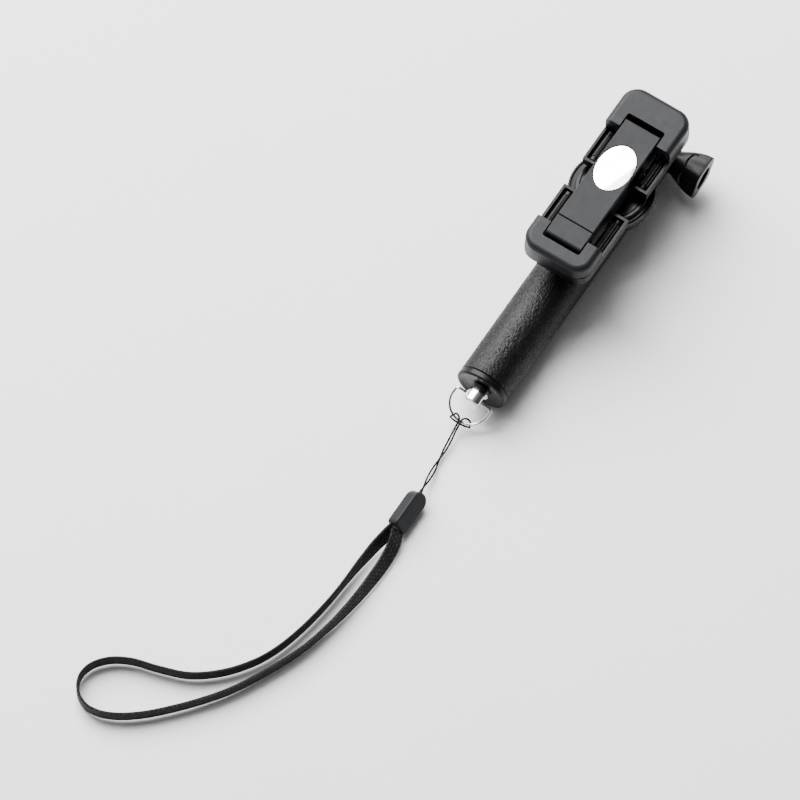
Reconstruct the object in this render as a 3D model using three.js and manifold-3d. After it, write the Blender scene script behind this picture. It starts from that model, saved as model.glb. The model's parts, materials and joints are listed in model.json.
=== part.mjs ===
// A pocket selfie stick, folded: a telescopic handle with a wrist strap, and a
// swivelling phone clamp that lies over the handle's upper end.
//
// Units are millimetres. +Y runs along the handle towards the head, +Z is up,
// out of the face that the phone rests on, and +X points at the thumb knob.
// The stick lies on Z = 0, and its origin is the middle of the flat foot under
// the head fork's block. Y values below are counted from the tilt hinge's axis.

import * as THREE from "three";
import { mergeVertices } from "three/addons/utils/BufferGeometryUtils.js";
import Module from "manifold-3d";

const wasm = await Module();
wasm.setup();

// ---------------------------------------------------------------- clearances

const SEAT_GAP = 0.3; // between two pieces that touch
const RUN_GAP = 0.1; // radial, between pieces that slide or turn in each other

// --------------------------------------------------------- facets and cutting

const WIDE_ROUND = 32; // sides of the plate and of the turntable on it
const ROUND = 24; // sides of the handle, the pole and the stub
const SMALL_ROUND = 16; // sides of the hinge screw, rivet and larger holes
const PIN_ROUND = 10; // sides of pins and small screws
const MIRROR_FACETS = 12;
const PAST = 1; // how far a cut runs past the face that it opens

// ------------------------------------------------------- driving dimensions

// Handle
const GRIP_RADIUS = 11;
const GRIP_WALL = 1.3;
const HANDLE_WALL = 1;
const CAP_FACE_Y = -125.8; // outer rim of the end cap
const CAP_RIM_LENGTH = 2.6;
const CAP_CHAMFER = 0.7;
const CAP_DISH = 0.5;
const CAP_PLUG_LENGTH = 1.8;
const HANDLE_TOP_Y = -21; // upper end of the handle tube
const COLLAR_LENGTH = 2;

// Strap post and ring
const POST_RADIUS = 4.1;
const POST_LENGTH = 7; // beyond the cap's rim
const POST_FLAT_DEPTH = 1.3;
const POST_TURN = THREE.MathUtils.degToRad(15); // how far the post is swivelled
const POST_SHAFT_RADIUS = 2;
const POST_RECESS_DEPTH = 1;
const POST_CHAMFER = 0.3;
const CLIP_THICKNESS = 0.6;
const CLIP_WIDTH = 1.4;
const RING_WIRE_RADIUS = 0.55;
const RING_BAR_HALF = 8.2;
const RING_BAR_INSET = 2.8; // from the post's tip to the bar
const RING_DEPTH = 11.2;
const RING_DROOP = THREE.MathUtils.degToRad(40);

// Telescopic pole
const SECTION_COUNT = 5;
const SECTION_WALL = 0.5;
const SECTION_STEP = 1.2; // radius lost from one section to the next
const SECTION_FOOT_RISE = 3; // each foot stands this much above the one outside
const SECTION_TOP_RISE = 0.7;
const BUSHING_LENGTH = 2.1;
const LIP_LENGTH = 1.5;

// Head fork and hinge
const HINGE_Z = GRIP_RADIUS + 0.5;
const FORK_HALF_WIDTH = 8;
const FORK_SLOT_HALF = 4.6;
const FORK_HEIGHT = 2 * GRIP_RADIUS - 2;
const FORK_FRONT_Y = 7.5;
const FORK_SLOT_BACK_Y = -8.3;
const FORK_BACK_Y = -15.4;
const FORK_ROUND = 5; // rounding of the cheeks' upper front corner
const POLE_SOCKET_END_Y = -9.7;
const SCREW_RADIUS = 2.5;
const SCREW_HEAD_RADIUS = 4.2;
const SCREW_HEAD_LENGTH = 2.8;
const SCREW_TIP_X = 18.6;
const HEX_SOCKET_RADIUS = 2.2;
const HEX_SOCKET_DEPTH = 1.9;
const WASHER_RADIUS = 5;
const WASHER_THICKNESS = 0.9;

// Hinge arm
const KNUCKLE_RADIUS = 5.6;
const KNUCKLE_HALF = 4.3;
const PLATE_RADIUS = 17.5;
const PLATE_Z = 2 * GRIP_RADIUS + 0.4;
const PLATE_THICKNESS = 1.6;
const PLATE_Y = -30.6; // centre of the plate and of the swivel
const LUG_HALF_WIDTH = 13.2;
const LUG_Y = -16.5;
const LUG_LENGTH = 5; // from its widest edge to the neck
const LUG_ROOT = 5.6; // from its widest edge into the plate
const LUG_FLARE = 1.4;
const NECK_CROWN = 1; // how much higher the neck is than the plate
const NECK_SHOULDER = 6; // the neck's straight front above the hinge axis
const NECK_FILLET = 2;

// Thumb knob
const KNOB_NECK_RADIUS = 5.2;
const KNOB_WING_RADIUS = 9.15;
const KNOB_WAIST_RADIUS = 6.7;
const KNOB_LENGTH = 14.6;
const KNOB_NECK_LENGTH = 2.2;
const KNOB_TURN = THREE.MathUtils.degToRad(33); // how far the wings are turned
const INSERT_RADIUS = 3.6;
const INSERT_LENGTH = 6;
const KNOB_FACE_HOLLOW = 0.9; // how far the four faces sink below the ridges
const KNOB_POCKET_DEPTH = 4;
const KNOB_POCKET_LONG = 4.75; // half length, along the wings
const KNOB_POCKET_WIDE = 2.8; // half width

// Swivel
const DISC_THICKNESS = 1.9;
const DISC_RIB_COUNT = 40;
const DISC_RIB_DEPTH = 0.35;
const DISC_GROOVE_RADIUS = 16.1;
const DISC_GROOVE_HALF = 0.35;
const DISC_GROOVE_DEPTH = 0.8;
const PAD_RADIUS = 14.6;
const PAD_THICKNESS = 1.4;
const PAD_CHAMFER = 0.4;
const RIVET_RADIUS = 1.9;
const RIVET_HEAD_RADIUS = 3.4;
const RIVET_HEAD_THICKNESS = 0.8;

// Clamp bar
const BASE_HALF_WIDTH = 7.4;
const BASE_WALL = 1.1;
const BASE_FLOOR = 2.8;
const BASE_ROOF = 1.2;
const BASE_END_WALL = 4.1;
const BASE_HEIGHT = 12;
const TAB_THICKNESS = 2.3;
const TAB_HALF_WIDTH = 7;
const TAB_OVERLAP = 9; // how far a tab reaches below its frame
const COVER_HALF_WIDTH = 8;
const COVER_THICKNESS = 2.1;
const COVER_UPPER_Y = -8.05;
const COVER_SEAM_Y = -57.4;
const COVER_LOWER_Y = -65.9;
const END_SKIRT_DEPTH = 6.4;
const END_COVER_ROUND = 1.6;
const MIRROR_HALF_X = 7.45;
const MIRROR_HALF_Y = 10.7;
const MIRROR_Y = -28.8;
const MIRROR_CROWN = 0.28;
const MIRROR_SINK = 1.1; // depth of the mirror's seat
const MIRROR_RIM = 0.12; // flat rim around the crown
const TONGUE_WALL = 1;
const TONGUE_LENGTH = 42;
const TONGUE_INSET = 0.4; // the tongue's foot behind the end cover's edge

// Tension springs in the tongue
const SPRING_RADIUS = 1.6; // to the middle of the wire
const SPRING_WIRE_RADIUS = 0.3;
const SPRING_X = (BASE_HALF_WIDTH - BASE_WALL - RUN_GAP - TONGUE_WALL) / 2;
const SPRING_TURNS = 11;
const SPRING_PIN_RADIUS = 0.6;
const SPRING_PIN_INSET = 1.6; // from the channel's end to the base's pins
const SPRING_PIN_RISE = 11; // from the tongue's foot to its own pins

// Frames, pads and claws
const CLAMP_HALF_WIDTH = 14.9;
const CORNER_RADIUS = 7;
const FRAME_Z = PLATE_Z + 8.4;
const FRAME_THICKNESS = 4.3;
const FRAME_SLOT_HALF = 8.9;
const FRAME_SETBACK = 0.4; // the frame's end is this much short of the claw's
const TRAY_FLOOR = 1.6;
const TRAY_RAIL = 1.1;
const TRAY_END_WALL = 1.2;
const RAIL_RELIEF = 0.2; // drop of the rails where the claw's legs swing
const FRAME_WEB_SETBACK = 2.1; // the frame's slot ends this much past the claw's
const CLAW_THICKNESS = 7.2;
const CLAW_EDGE_RADIUS = 2.4;
const CLAW_SLOT_HALF = 8.55;
const CLAW_LIP = 1.5; // height of the notch's edge above its relief
const CLAW_RELIEF = 0.9; // lets the notch's wall swing past the bar's end
const UPPER_CLAW_END_Y = 7.3;
const UPPER_CLAW_NOTCH_Y = -5.3;
const UPPER_CLAW_LEG_Y = -12;
const UPPER_ARM_END_Y = -28.8;
const LOWER_CLAW_END_Y = -75.6;
const LOWER_CLAW_NOTCH_Y = -68.8;
const LOWER_CLAW_LEG_Y = -62;
const LOWER_ARM_END_Y = -42;
const PIVOT_INSET = 1.4; // from a leg's end to its hinge pin
const PIVOT_RISE = 2.3; // from the claw's underside to its hinge pin
const PIN_RADIUS = 0.7;
const EAR_THICKNESS = 1.4;
const EAR_RADIUS = 1.5;
const EAR_X = 11.9;
const PAD_STRIP_RADIUS = 2.2;
const PAD_GROOVE_WIDTH = 0.6;
const PAD_GROOVE_DEPTH = 0.6;
const PAD_GROOVE_PITCH = 1.15;
const COLLAR_STRIP_LENGTH = 1.5;
const COLLAR_ARM_GAP = 0.7; // from the arm's end wall to the first collar
const COLLAR_LEG_GAP = 0.4; // from the last collar to the claw's legs

// Small screws
const SMALL_SCREW_RADIUS = 0.9;
const SMALL_HEAD_RADIUS = 1.7;
const SMALL_HEAD_LENGTH = 1.1;
const COVER_SCREW_X = 4;
const COVER_SCREW_DEPTH = 1.05; // how far its thread reaches into the cover
const FRAME_SCREW_X = 4;
const FRAME_SCREW_SHORT = 1.5; // its tip below the frame's top
const TAB_SCREW_INSET = 3;

// Wrist strap
const CORD_RADIUS = 0.4;
const SLIDER_LENGTH = 17.6;
const SLIDER_WIDTH = 7.8;
const SLIDER_THICKNESS = 5.4;
const SLIDER_BEVEL = 0.7;
const SLIDER_CORNER = 1;
const SLIDER_X = 2.9;
const SLIDER_ROLL = 54; // degrees about its length, broad face turned to +X
const SLIDER_Y = -182;
const STRAP_CAP_Y = -125.8; // cap face that the strap's points are laid out for
const TAPE_WIDTH = 6;
const TAPE_THICKNESS = 1.2;
const TAPE_EDGE = 0.25;

// -------------------------------------------------------- derived positions

const FOOT_Y = (FORK_BACK_Y + FORK_SLOT_BACK_Y) / 2; // middle of the fork's foot
const HANDLE_Z = GRIP_RADIUS;
const TUBE_OUTER = GRIP_RADIUS - GRIP_WALL - RUN_GAP;
const TUBE_INNER = TUBE_OUTER - HANDLE_WALL;
const TUBE_LOWER_Y = CAP_FACE_Y + CAP_RIM_LENGTH + SEAT_GAP;
const POST_TIP_Y = CAP_FACE_Y - POST_LENGTH;
const RING_BAR_Y = POST_TIP_Y + RING_BAR_INSET;
const CAP_PLUG_Y = CAP_FACE_Y + CAP_RIM_LENGTH + CAP_PLUG_LENGTH;
const POST_CLIP_Y = CAP_PLUG_Y + SEAT_GAP;
const FIRST_FOOT_Y = POST_CLIP_Y + CLIP_THICKNESS + 2 * SEAT_GAP + BUSHING_LENGTH;

const EAR_OUTER_X = FORK_HALF_WIDTH;
const KNOB_X = EAR_OUTER_X + SEAT_GAP + WASHER_THICKNESS + SEAT_GAP;

const PLATE_TOP = PLATE_Z + PLATE_THICKNESS;
const DISC_Z = PLATE_TOP + SEAT_GAP;
const PAD_Z = DISC_Z + DISC_THICKNESS + SEAT_GAP;
const BASE_Z = PAD_Z + PAD_THICKNESS + SEAT_GAP;
const BASE_TOP = BASE_Z + BASE_HEIGHT;
const CHANNEL_HALF = BASE_HALF_WIDTH - BASE_WALL;
const CHANNEL_Z = BASE_Z + BASE_FLOOR;
const CHANNEL_TOP = BASE_TOP - BASE_ROOF;
const COVER_Z = BASE_TOP + SEAT_GAP;
const FACE_Z = COVER_Z + COVER_THICKNESS;
const BASE_UPPER_Y = COVER_UPPER_Y - SEAT_GAP;
const CHANNEL_END_Y = BASE_UPPER_Y - BASE_END_WALL;

const TONGUE_HALF = CHANNEL_HALF - SEAT_GAP;
const TONGUE_Z = CHANNEL_Z + SEAT_GAP;
const TONGUE_TOP = CHANNEL_TOP - SEAT_GAP;
const TONGUE_LOWER_Y = COVER_LOWER_Y + TONGUE_INSET;
const TONGUE_UPPER_Y = COVER_SEAM_Y + TONGUE_LENGTH;
const FRAME_TAB_Y = BASE_UPPER_Y + TAB_OVERLAP;
const LOWER_TAB_Y = TONGUE_LOWER_Y - TAB_OVERLAP;
const SPRING_UPPER_Y = CHANNEL_END_Y - SPRING_PIN_INSET;
const SPRING_LOWER_Y = TONGUE_LOWER_Y + SPRING_PIN_RISE;

const FRAME_TOP = FRAME_Z + FRAME_THICKNESS;
const CLAW_Z = FACE_Z - CLAW_THICKNESS;
const PIVOT_Z = CLAW_Z + PIVOT_RISE;
const TRAY_X = CLAMP_HALF_WIDTH - TRAY_RAIL - PAD_STRIP_RADIUS - 2 * RUN_GAP;

// ------------------------------------------------------------------ helpers

const stick = new THREE.Group();

function solid(geometry) {
  const bare = geometry.clone();
  bare.deleteAttribute("normal");
  bare.deleteAttribute("uv");
  const merged = mergeVertices(bare, 1e-4);
  return new wasm.Manifold(
    new wasm.Mesh({
      numProp: 3,
      vertProperties: new Float32Array(merged.attributes.position.array),
      triVerts: new Uint32Array(merged.index.array),
    }),
  );
}

function toGeometry(body) {
  const mesh = body.getMesh();
  const geometry = new THREE.BufferGeometry();
  geometry.setAttribute("position", new THREE.BufferAttribute(mesh.vertProperties, 3));
  geometry.setIndex(new THREE.BufferAttribute(mesh.triVerts, 1));
  geometry.computeVertexNormals();
  return geometry;
}

// Joins a list of geometries and cuts a second list away from them.
function carve(joined, cuts = []) {
  let body = solid(joined[0]);
  for (const geometry of joined.slice(1)) {
    body = body.add(solid(geometry));
  }
  for (const geometry of cuts) {
    body = body.subtract(solid(geometry));
  }
  return toGeometry(body);
}

function finish(color, roughness, metalness = 0) {
  return { color, roughness, metalness };
}

function add(name, geometry, look, parent = stick) {
  const material = new THREE.MeshStandardMaterial(look);
  const mesh = new THREE.Mesh(geometry, material);
  mesh.name = name;
  parent.add(mesh);
  return mesh;
}

// A box between two corners.
function box(low, high) {
  const size = high.map((value, i) => value - low[i]);
  const middle = high.map((value, i) => (value + low[i]) / 2);
  return new THREE.BoxGeometry(...size).translate(...middle);
}

// A box that is symmetric about X = 0.
function barBox(halfWidth, lowY, highY, lowZ, highZ) {
  return box([-halfWidth, lowY, lowZ], [halfWidth, highY, highZ]);
}

// Turns a closed outline of [radius, y] points about the Y axis.
function turned(outline, segments = WIDE_ROUND) {
  const points = outline.map(([radius, y]) => new THREE.Vector2(radius, y));
  const area = THREE.ShapeUtils.area(points);
  if (area < 0) {
    points.reverse();
  }
  if (outline.every(([radius]) => radius > 0)) {
    points.push(points[0].clone());
  }
  return new THREE.LatheGeometry(points, segments);
}

// A solid of revolution along the handle's axis.
function handleLathe(outline) {
  return turned(outline, ROUND).translate(0, 0, HANDLE_Z);
}

// A rod along X, Y or Z between two stations.
function rod(axis, radius, from, to, centre = [0, 0, 0], segments = SMALL_ROUND) {
  const geometry = new THREE.CylinderGeometry(radius, radius, to - from, segments);
  geometry.translate(0, (from + to) / 2, 0);
  if (axis === "x") {
    geometry.rotateZ(-Math.PI / 2);
  }
  if (axis === "z") {
    geometry.rotateX(Math.PI / 2);
  }
  return geometry.translate(...centre);
}

// An outline in the XY plane, extruded up from lowZ.
function plate(shape, lowZ, thickness, curveSegments = 8) {
  return new THREE.ExtrudeGeometry(shape, {
    depth: thickness,
    bevelEnabled: false,
    curveSegments,
  }).translate(0, 0, lowZ);
}

// An outline drawn as (y, z) points, extruded across X from -half to half.
function crossPlate(shape, half) {
  return new THREE.ExtrudeGeometry(shape, {
    depth: 2 * half,
    bevelEnabled: false,
    curveSegments: 6,
  })
    .rotateY(Math.PI / 2)
    .rotateX(Math.PI / 2)
    .translate(-half, 0, 0);
}

// A rectangle from lowY to highY whose corners at the outer end are round.
function roundEndShape(halfWidth, innerY, outerY, radius) {
  const out = Math.sign(outerY - innerY);
  const shape = new THREE.Shape();
  shape.moveTo(-halfWidth, innerY);
  shape.lineTo(halfWidth, innerY);
  shape.lineTo(halfWidth, outerY - out * radius);
  shape.quadraticCurveTo(halfWidth, outerY, halfWidth - radius, outerY);
  shape.lineTo(radius - halfWidth, outerY);
  shape.quadraticCurveTo(-halfWidth, outerY, -halfWidth, outerY - out * radius);
  shape.lineTo(-halfWidth, innerY);
  return shape;
}

// A section swept along a curve.
function swept(section, curve, steps) {
  return new THREE.ExtrudeGeometry(section, {
    steps,
    extrudePath: curve,
    bevelEnabled: false,
  });
}

// A regular outline with a given number of sides.
function sidedShape(radius, sides) {
  const points = [];
  for (let i = 0; i < sides; i += 1) {
    const angle = ((i + 0.5) / sides) * 2 * Math.PI;
    points.push(new THREE.Vector2(radius * Math.cos(angle), radius * Math.sin(angle)));
  }
  return new THREE.Shape(points);
}

// ------------------------------------------------------------------- finishes

const RUBBER_BLACK = finish(0x1b1b1d, 0.85);
const PLASTIC_BLACK = finish(0x161618, 0.35);
const PLASTIC_SATIN = finish(0x3a3b3f, 0.5);
const BRIGHT_STEEL = finish(0xcfd2d6, 0.25, 1);
const SILVER_TUBE = finish(0xb4b7bc, 0.3, 1);
const BRASS = finish(0xb08d4a, 0.35, 1);
const MIRROR_FACE = finish(0xf2f4f6, 0.03, 1);
const STRAP_BLACK = finish(0x141414, 0.9);

// --------------------------------------------------------------------- handle

function buildHandle() {
  const sleeve = handleLathe([
    [TUBE_OUTER + RUN_GAP, TUBE_LOWER_Y],
    [GRIP_RADIUS, TUBE_LOWER_Y],
    [GRIP_RADIUS, HANDLE_TOP_Y - SEAT_GAP],
    [TUBE_OUTER + RUN_GAP, HANDLE_TOP_Y - SEAT_GAP],
  ]);
  add("grip_sleeve", sleeve, RUBBER_BLACK);

  const firstOuter = sectionOuter(1);
  const tube = handleLathe([
    [TUBE_INNER, TUBE_LOWER_Y],
    [TUBE_OUTER, TUBE_LOWER_Y],
    [TUBE_OUTER, HANDLE_TOP_Y],
    [firstOuter + RUN_GAP, HANDLE_TOP_Y],
    [firstOuter + RUN_GAP, HANDLE_TOP_Y - LIP_LENGTH],
    [TUBE_INNER, HANDLE_TOP_Y - LIP_LENGTH],
  ]);
  add("handle_tube", tube, SILVER_TUBE);

  const collarY = HANDLE_TOP_Y + SEAT_GAP;
  const collar = handleLathe([
    [firstOuter + SEAT_GAP, collarY],
    [GRIP_RADIUS - SEAT_GAP, collarY],
    [GRIP_RADIUS - SEAT_GAP, collarY + COLLAR_LENGTH / 2],
    [GRIP_RADIUS - COLLAR_LENGTH / 2, collarY + COLLAR_LENGTH],
    [firstOuter + SEAT_GAP, collarY + COLLAR_LENGTH],
  ]);
  add("top_collar", collar, PLASTIC_BLACK);

  const cap = handleLathe([
    [POST_SHAFT_RADIUS + RUN_GAP, CAP_FACE_Y + POST_RECESS_DEPTH],
    [POST_RADIUS + 2 * SEAT_GAP, CAP_FACE_Y + POST_RECESS_DEPTH],
    [POST_RADIUS + 2 * SEAT_GAP, CAP_FACE_Y + CAP_DISH],
    [GRIP_RADIUS - 2 * CAP_CHAMFER, CAP_FACE_Y],
    [GRIP_RADIUS - CAP_CHAMFER / 2, CAP_FACE_Y + CAP_CHAMFER / 3],
    [GRIP_RADIUS, CAP_FACE_Y + CAP_CHAMFER],
    [GRIP_RADIUS, CAP_FACE_Y + CAP_RIM_LENGTH],
    [TUBE_INNER - RUN_GAP, CAP_FACE_Y + CAP_RIM_LENGTH],
    [TUBE_INNER - RUN_GAP, CAP_PLUG_Y],
    [POST_SHAFT_RADIUS + RUN_GAP, CAP_PLUG_Y],
  ]);
  add("end_cap", cap, PLASTIC_BLACK);
}

// The stub that the ring hangs on. It turns in the end cap, held by a clip.
function buildPost() {
  const post = new THREE.Group();
  post.position.set(0, 0, HANDLE_Z);
  post.rotation.y = POST_TURN;
  stick.add(post);

  const shoulderY = CAP_FACE_Y + POST_RECESS_DEPTH - SEAT_GAP;
  const shaftTopY = POST_CLIP_Y + CLIP_THICKNESS + SEAT_GAP;
  const grooveRadius = POST_SHAFT_RADIUS - SEAT_GAP;
  const stub = turned(
    [
      [0, POST_TIP_Y],
      [POST_RADIUS - POST_CHAMFER, POST_TIP_Y],
      [POST_RADIUS, POST_TIP_Y + POST_CHAMFER],
      [POST_RADIUS, shoulderY],
      [POST_SHAFT_RADIUS, shoulderY],
      [POST_SHAFT_RADIUS, POST_CLIP_Y - RUN_GAP],
      [grooveRadius - RUN_GAP, POST_CLIP_Y - RUN_GAP],
      [grooveRadius - RUN_GAP, POST_CLIP_Y + CLIP_THICKNESS + RUN_GAP],
      [POST_SHAFT_RADIUS, POST_CLIP_Y + CLIP_THICKNESS + RUN_GAP],
      [POST_SHAFT_RADIUS, shaftTopY],
      [0, shaftTopY],
    ],
    ROUND,
  );
  const flatSide = box(
    [POST_RADIUS - POST_FLAT_DEPTH, POST_TIP_Y - PAST, -POST_RADIUS],
    [POST_RADIUS + PAST, CAP_FACE_Y - PAST, POST_RADIUS],
  );
  const crossHole = rod(
    "x",
    RING_WIRE_RADIUS + RUN_GAP,
    -POST_RADIUS - PAST,
    POST_RADIUS + PAST,
    [0, RING_BAR_Y, 0],
    PIN_ROUND,
  );
  add("strap_post", carve([stub], [flatSide, crossHole]), BRIGHT_STEEL, post);

  const clip = turned(
    [
      [grooveRadius, POST_CLIP_Y],
      [grooveRadius + CLIP_WIDTH, POST_CLIP_Y],
      [grooveRadius + CLIP_WIDTH, POST_CLIP_Y + CLIP_THICKNESS],
      [grooveRadius, POST_CLIP_Y + CLIP_THICKNESS],
    ],
    ROUND,
  );
  add("post_clip", clip, BRIGHT_STEEL, post);

  const ring = new THREE.Group();
  ring.position.set(0, RING_BAR_Y, 0);
  ring.rotation.x = RING_DROOP;
  post.add(ring);
  add("d_ring", dRing(), BRIGHT_STEEL, ring);
}

// A D of round wire: a straight bar along X and a bow that hangs towards -Y.
function dRing() {
  const straight = RING_DEPTH - RING_BAR_HALF;
  const points = [new THREE.Vector3(-RING_BAR_HALF, 0, 0)];
  const bowSteps = 12;
  for (let i = 0; i <= bowSteps; i += 1) {
    const angle = Math.PI + (i / bowSteps) * Math.PI;
    points.push(
      new THREE.Vector3(
        RING_BAR_HALF * Math.cos(angle),
        -straight + RING_BAR_HALF * Math.sin(angle),
        0,
      ),
    );
  }
  points.push(new THREE.Vector3(RING_BAR_HALF, 0, 0));
  const curve = new THREE.CatmullRomCurve3(points, false, "centripetal");
  const wire = swept(sidedShape(RING_WIRE_RADIUS, 8), curve, 2 * bowSteps);
  const bar = rod("x", RING_WIRE_RADIUS, -RING_BAR_HALF, RING_BAR_HALF, [0, 0, 0], 8);
  const corners = [-1, 1].map((side) =>
    new THREE.SphereGeometry(RING_WIRE_RADIUS, 8, 6).translate(side * RING_BAR_HALF, 0, 0),
  );
  return carve([wire, bar, ...corners]);
}

// ----------------------------------------------------------------------- pole

function sectionOuter(index) {
  return TUBE_INNER - 4 * RUN_GAP - (index - 1) * SECTION_STEP;
}

// Inner radius of the tube around a section: the handle's, or the last section's.
function enclosingInner(index) {
  return index === 1 ? TUBE_INNER : sectionOuter(index - 1) - SECTION_WALL;
}

function buildPole() {
  for (let index = 1; index <= SECTION_COUNT; index += 1) {
    const last = index === SECTION_COUNT;
    const outer = sectionOuter(index);
    const inner = outer - SECTION_WALL;
    const footY = FIRST_FOOT_Y + (index - 1) * SECTION_FOOT_RISE;
    const collarTop = HANDLE_TOP_Y + SEAT_GAP + COLLAR_LENGTH;
    const topY = last ? POLE_SOCKET_END_Y - SEAT_GAP : collarTop + index * SECTION_TOP_RISE;
    const lip = last ? inner : sectionOuter(index + 1) + RUN_GAP;
    const section = handleLathe([
      [inner, footY],
      [outer, footY],
      [outer, topY],
      [lip, topY],
      [lip, topY - LIP_LENGTH],
      [inner, topY - LIP_LENGTH - RUN_GAP],
    ]);
    add(`pole_section_${index}`, section, SILVER_TUBE);

    const bushingTop = footY - SEAT_GAP;
    const bushing = handleLathe([
      [inner, bushingTop - BUSHING_LENGTH],
      [enclosingInner(index) - RUN_GAP, bushingTop - BUSHING_LENGTH],
      [enclosingInner(index) - RUN_GAP, bushingTop],
      [inner, bushingTop],
    ]);
    add(`pole_bushing_${index}`, bushing, PLASTIC_BLACK);
  }
}

// ----------------------------------------------------------------------- head

function buildFork() {
  const cheek = new THREE.Shape();
  const roundY = FORK_FRONT_Y - FORK_ROUND;
  cheek.moveTo(FORK_BACK_Y, 0);
  cheek.lineTo(FORK_FRONT_Y, 0);
  cheek.lineTo(FORK_FRONT_Y, FORK_HEIGHT - FORK_ROUND);
  cheek.quadraticCurveTo(FORK_FRONT_Y, FORK_HEIGHT, roundY, FORK_HEIGHT);
  cheek.lineTo(FORK_BACK_Y, FORK_HEIGHT);
  cheek.lineTo(FORK_BACK_Y, 0);
  const block = crossPlate(cheek, FORK_HALF_WIDTH);
  const slot = barBox(
    FORK_SLOT_HALF,
    FORK_SLOT_BACK_Y,
    FORK_FRONT_Y + PAST,
    -PAST,
    FORK_HEIGHT + PAST,
  );
  const poleRadius = sectionOuter(SECTION_COUNT) + SEAT_GAP;
  const socket = rod(
    "y",
    poleRadius,
    FORK_BACK_Y - PAST,
    POLE_SOCKET_END_Y,
    [0, 0, HANDLE_Z],
    ROUND,
  );
  const bore = rod(
    "x",
    SCREW_RADIUS + RUN_GAP,
    -FORK_HALF_WIDTH - PAST,
    FORK_HALF_WIDTH + PAST,
    [0, 0, HINGE_Z],
  );
  add("head_fork", carve([block], [slot, socket, bore]), PLASTIC_BLACK);
}

function buildHingeArm() {
  const centre = [0, 0, HINGE_Z];
  const plateCentre = [0, PLATE_Y, 0];
  const knuckle = rod("x", KNUCKLE_RADIUS, -KNUCKLE_HALF, KNUCKLE_HALF, centre, ROUND);

  const neckTop = PLATE_TOP + NECK_CROWN;
  const neckBackY = -KNUCKLE_RADIUS - NECK_FILLET;
  const stepY = PLATE_Y + PLATE_RADIUS + 2 * SEAT_GAP;
  const neck = new THREE.Shape();
  neck.moveTo(-KNUCKLE_RADIUS, HINGE_Z);
  neck.lineTo(KNUCKLE_RADIUS, HINGE_Z);
  neck.lineTo(KNUCKLE_RADIUS, HINGE_Z + NECK_SHOULDER);
  neck.quadraticCurveTo(KNUCKLE_RADIUS, neckTop, -KNUCKLE_RADIUS, neckTop);
  neck.lineTo(stepY + NECK_CROWN, neckTop);
  neck.lineTo(stepY, PLATE_TOP);
  neck.lineTo(LUG_Y, PLATE_TOP);
  neck.lineTo(LUG_Y, PLATE_Z);
  neck.lineTo(neckBackY, PLATE_Z);
  neck.quadraticCurveTo(-KNUCKLE_RADIUS, PLATE_Z, -KNUCKLE_RADIUS, PLATE_Z - NECK_FILLET);
  neck.lineTo(-KNUCKLE_RADIUS, HINGE_Z);

  const lug = new THREE.Shape();
  lug.moveTo(-LUG_HALF_WIDTH, LUG_Y);
  lug.lineTo(-KNUCKLE_HALF, LUG_Y + LUG_LENGTH);
  lug.lineTo(KNUCKLE_HALF, LUG_Y + LUG_LENGTH);
  lug.lineTo(LUG_HALF_WIDTH, LUG_Y);
  lug.lineTo(LUG_HALF_WIDTH + LUG_FLARE, LUG_Y - LUG_ROOT);
  lug.lineTo(-LUG_HALF_WIDTH - LUG_FLARE, LUG_Y - LUG_ROOT);

  const round = rod("z", PLATE_RADIUS, PLATE_Z, PLATE_TOP, plateCentre, WIDE_ROUND);
  const bore = rod(
    "x",
    SCREW_RADIUS + RUN_GAP,
    -KNUCKLE_HALF - PAST,
    KNUCKLE_HALF + PAST,
    centre,
  );
  const rivetHole = rod(
    "z",
    RIVET_RADIUS + RUN_GAP,
    PLATE_Z - PAST,
    PLATE_TOP + PAST,
    plateCentre,
  );
  const rivetSeat = rod(
    "z",
    RIVET_HEAD_RADIUS + SEAT_GAP,
    PLATE_Z - PAST,
    PLATE_Z + RIVET_HEAD_THICKNESS,
    plateCentre,
  );
  const arm = carve(
    [round, plate(lug, PLATE_Z, PLATE_THICKNESS), crossPlate(neck, KNUCKLE_HALF), knuckle],
    [bore, rivetHole, rivetSeat],
  );
  add("hinge_arm", arm, PLASTIC_BLACK);
}

function buildHingeScrew() {
  const headX = -EAR_OUTER_X - SEAT_GAP - WASHER_THICKNESS - SEAT_GAP;
  const centre = [0, 0, HINGE_Z];
  const shank = rod("x", SCREW_RADIUS, headX - PAST, SCREW_TIP_X, centre);
  const head = rod("x", SCREW_HEAD_RADIUS, headX - SCREW_HEAD_LENGTH, headX, centre);
  const socket = rod(
    "x",
    HEX_SOCKET_RADIUS,
    headX - SCREW_HEAD_LENGTH - PAST,
    headX - SCREW_HEAD_LENGTH + HEX_SOCKET_DEPTH,
    centre,
    6,
  );
  add("hinge_screw", carve([shank, head], [socket]), BRIGHT_STEEL);

  for (const [name, side] of [["hinge_washer_left", -1], ["hinge_washer_right", 1]]) {
    const near = side * (EAR_OUTER_X + SEAT_GAP);
    const far = near + side * WASHER_THICKNESS;
    const low = Math.min(near, far);
    const high = Math.max(near, far);
    const disc = rod("x", WASHER_RADIUS, low, high, centre, ROUND);
    const hole = rod("x", SCREW_RADIUS + RUN_GAP, low - PAST, high + PAST, centre);
    add(name, carve([disc], [hole]), BRIGHT_STEEL);
  }
}

// How far the knob has flared, from 0 at its neck to 1 at its outer end.
function knobFlare(along) {
  const start = KNOB_NECK_LENGTH / KNOB_LENGTH;
  const t = THREE.MathUtils.clamp((along - start) / (1 - start), 0, 1);
  return Math.sin((t * Math.PI) / 2);
}

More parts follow.
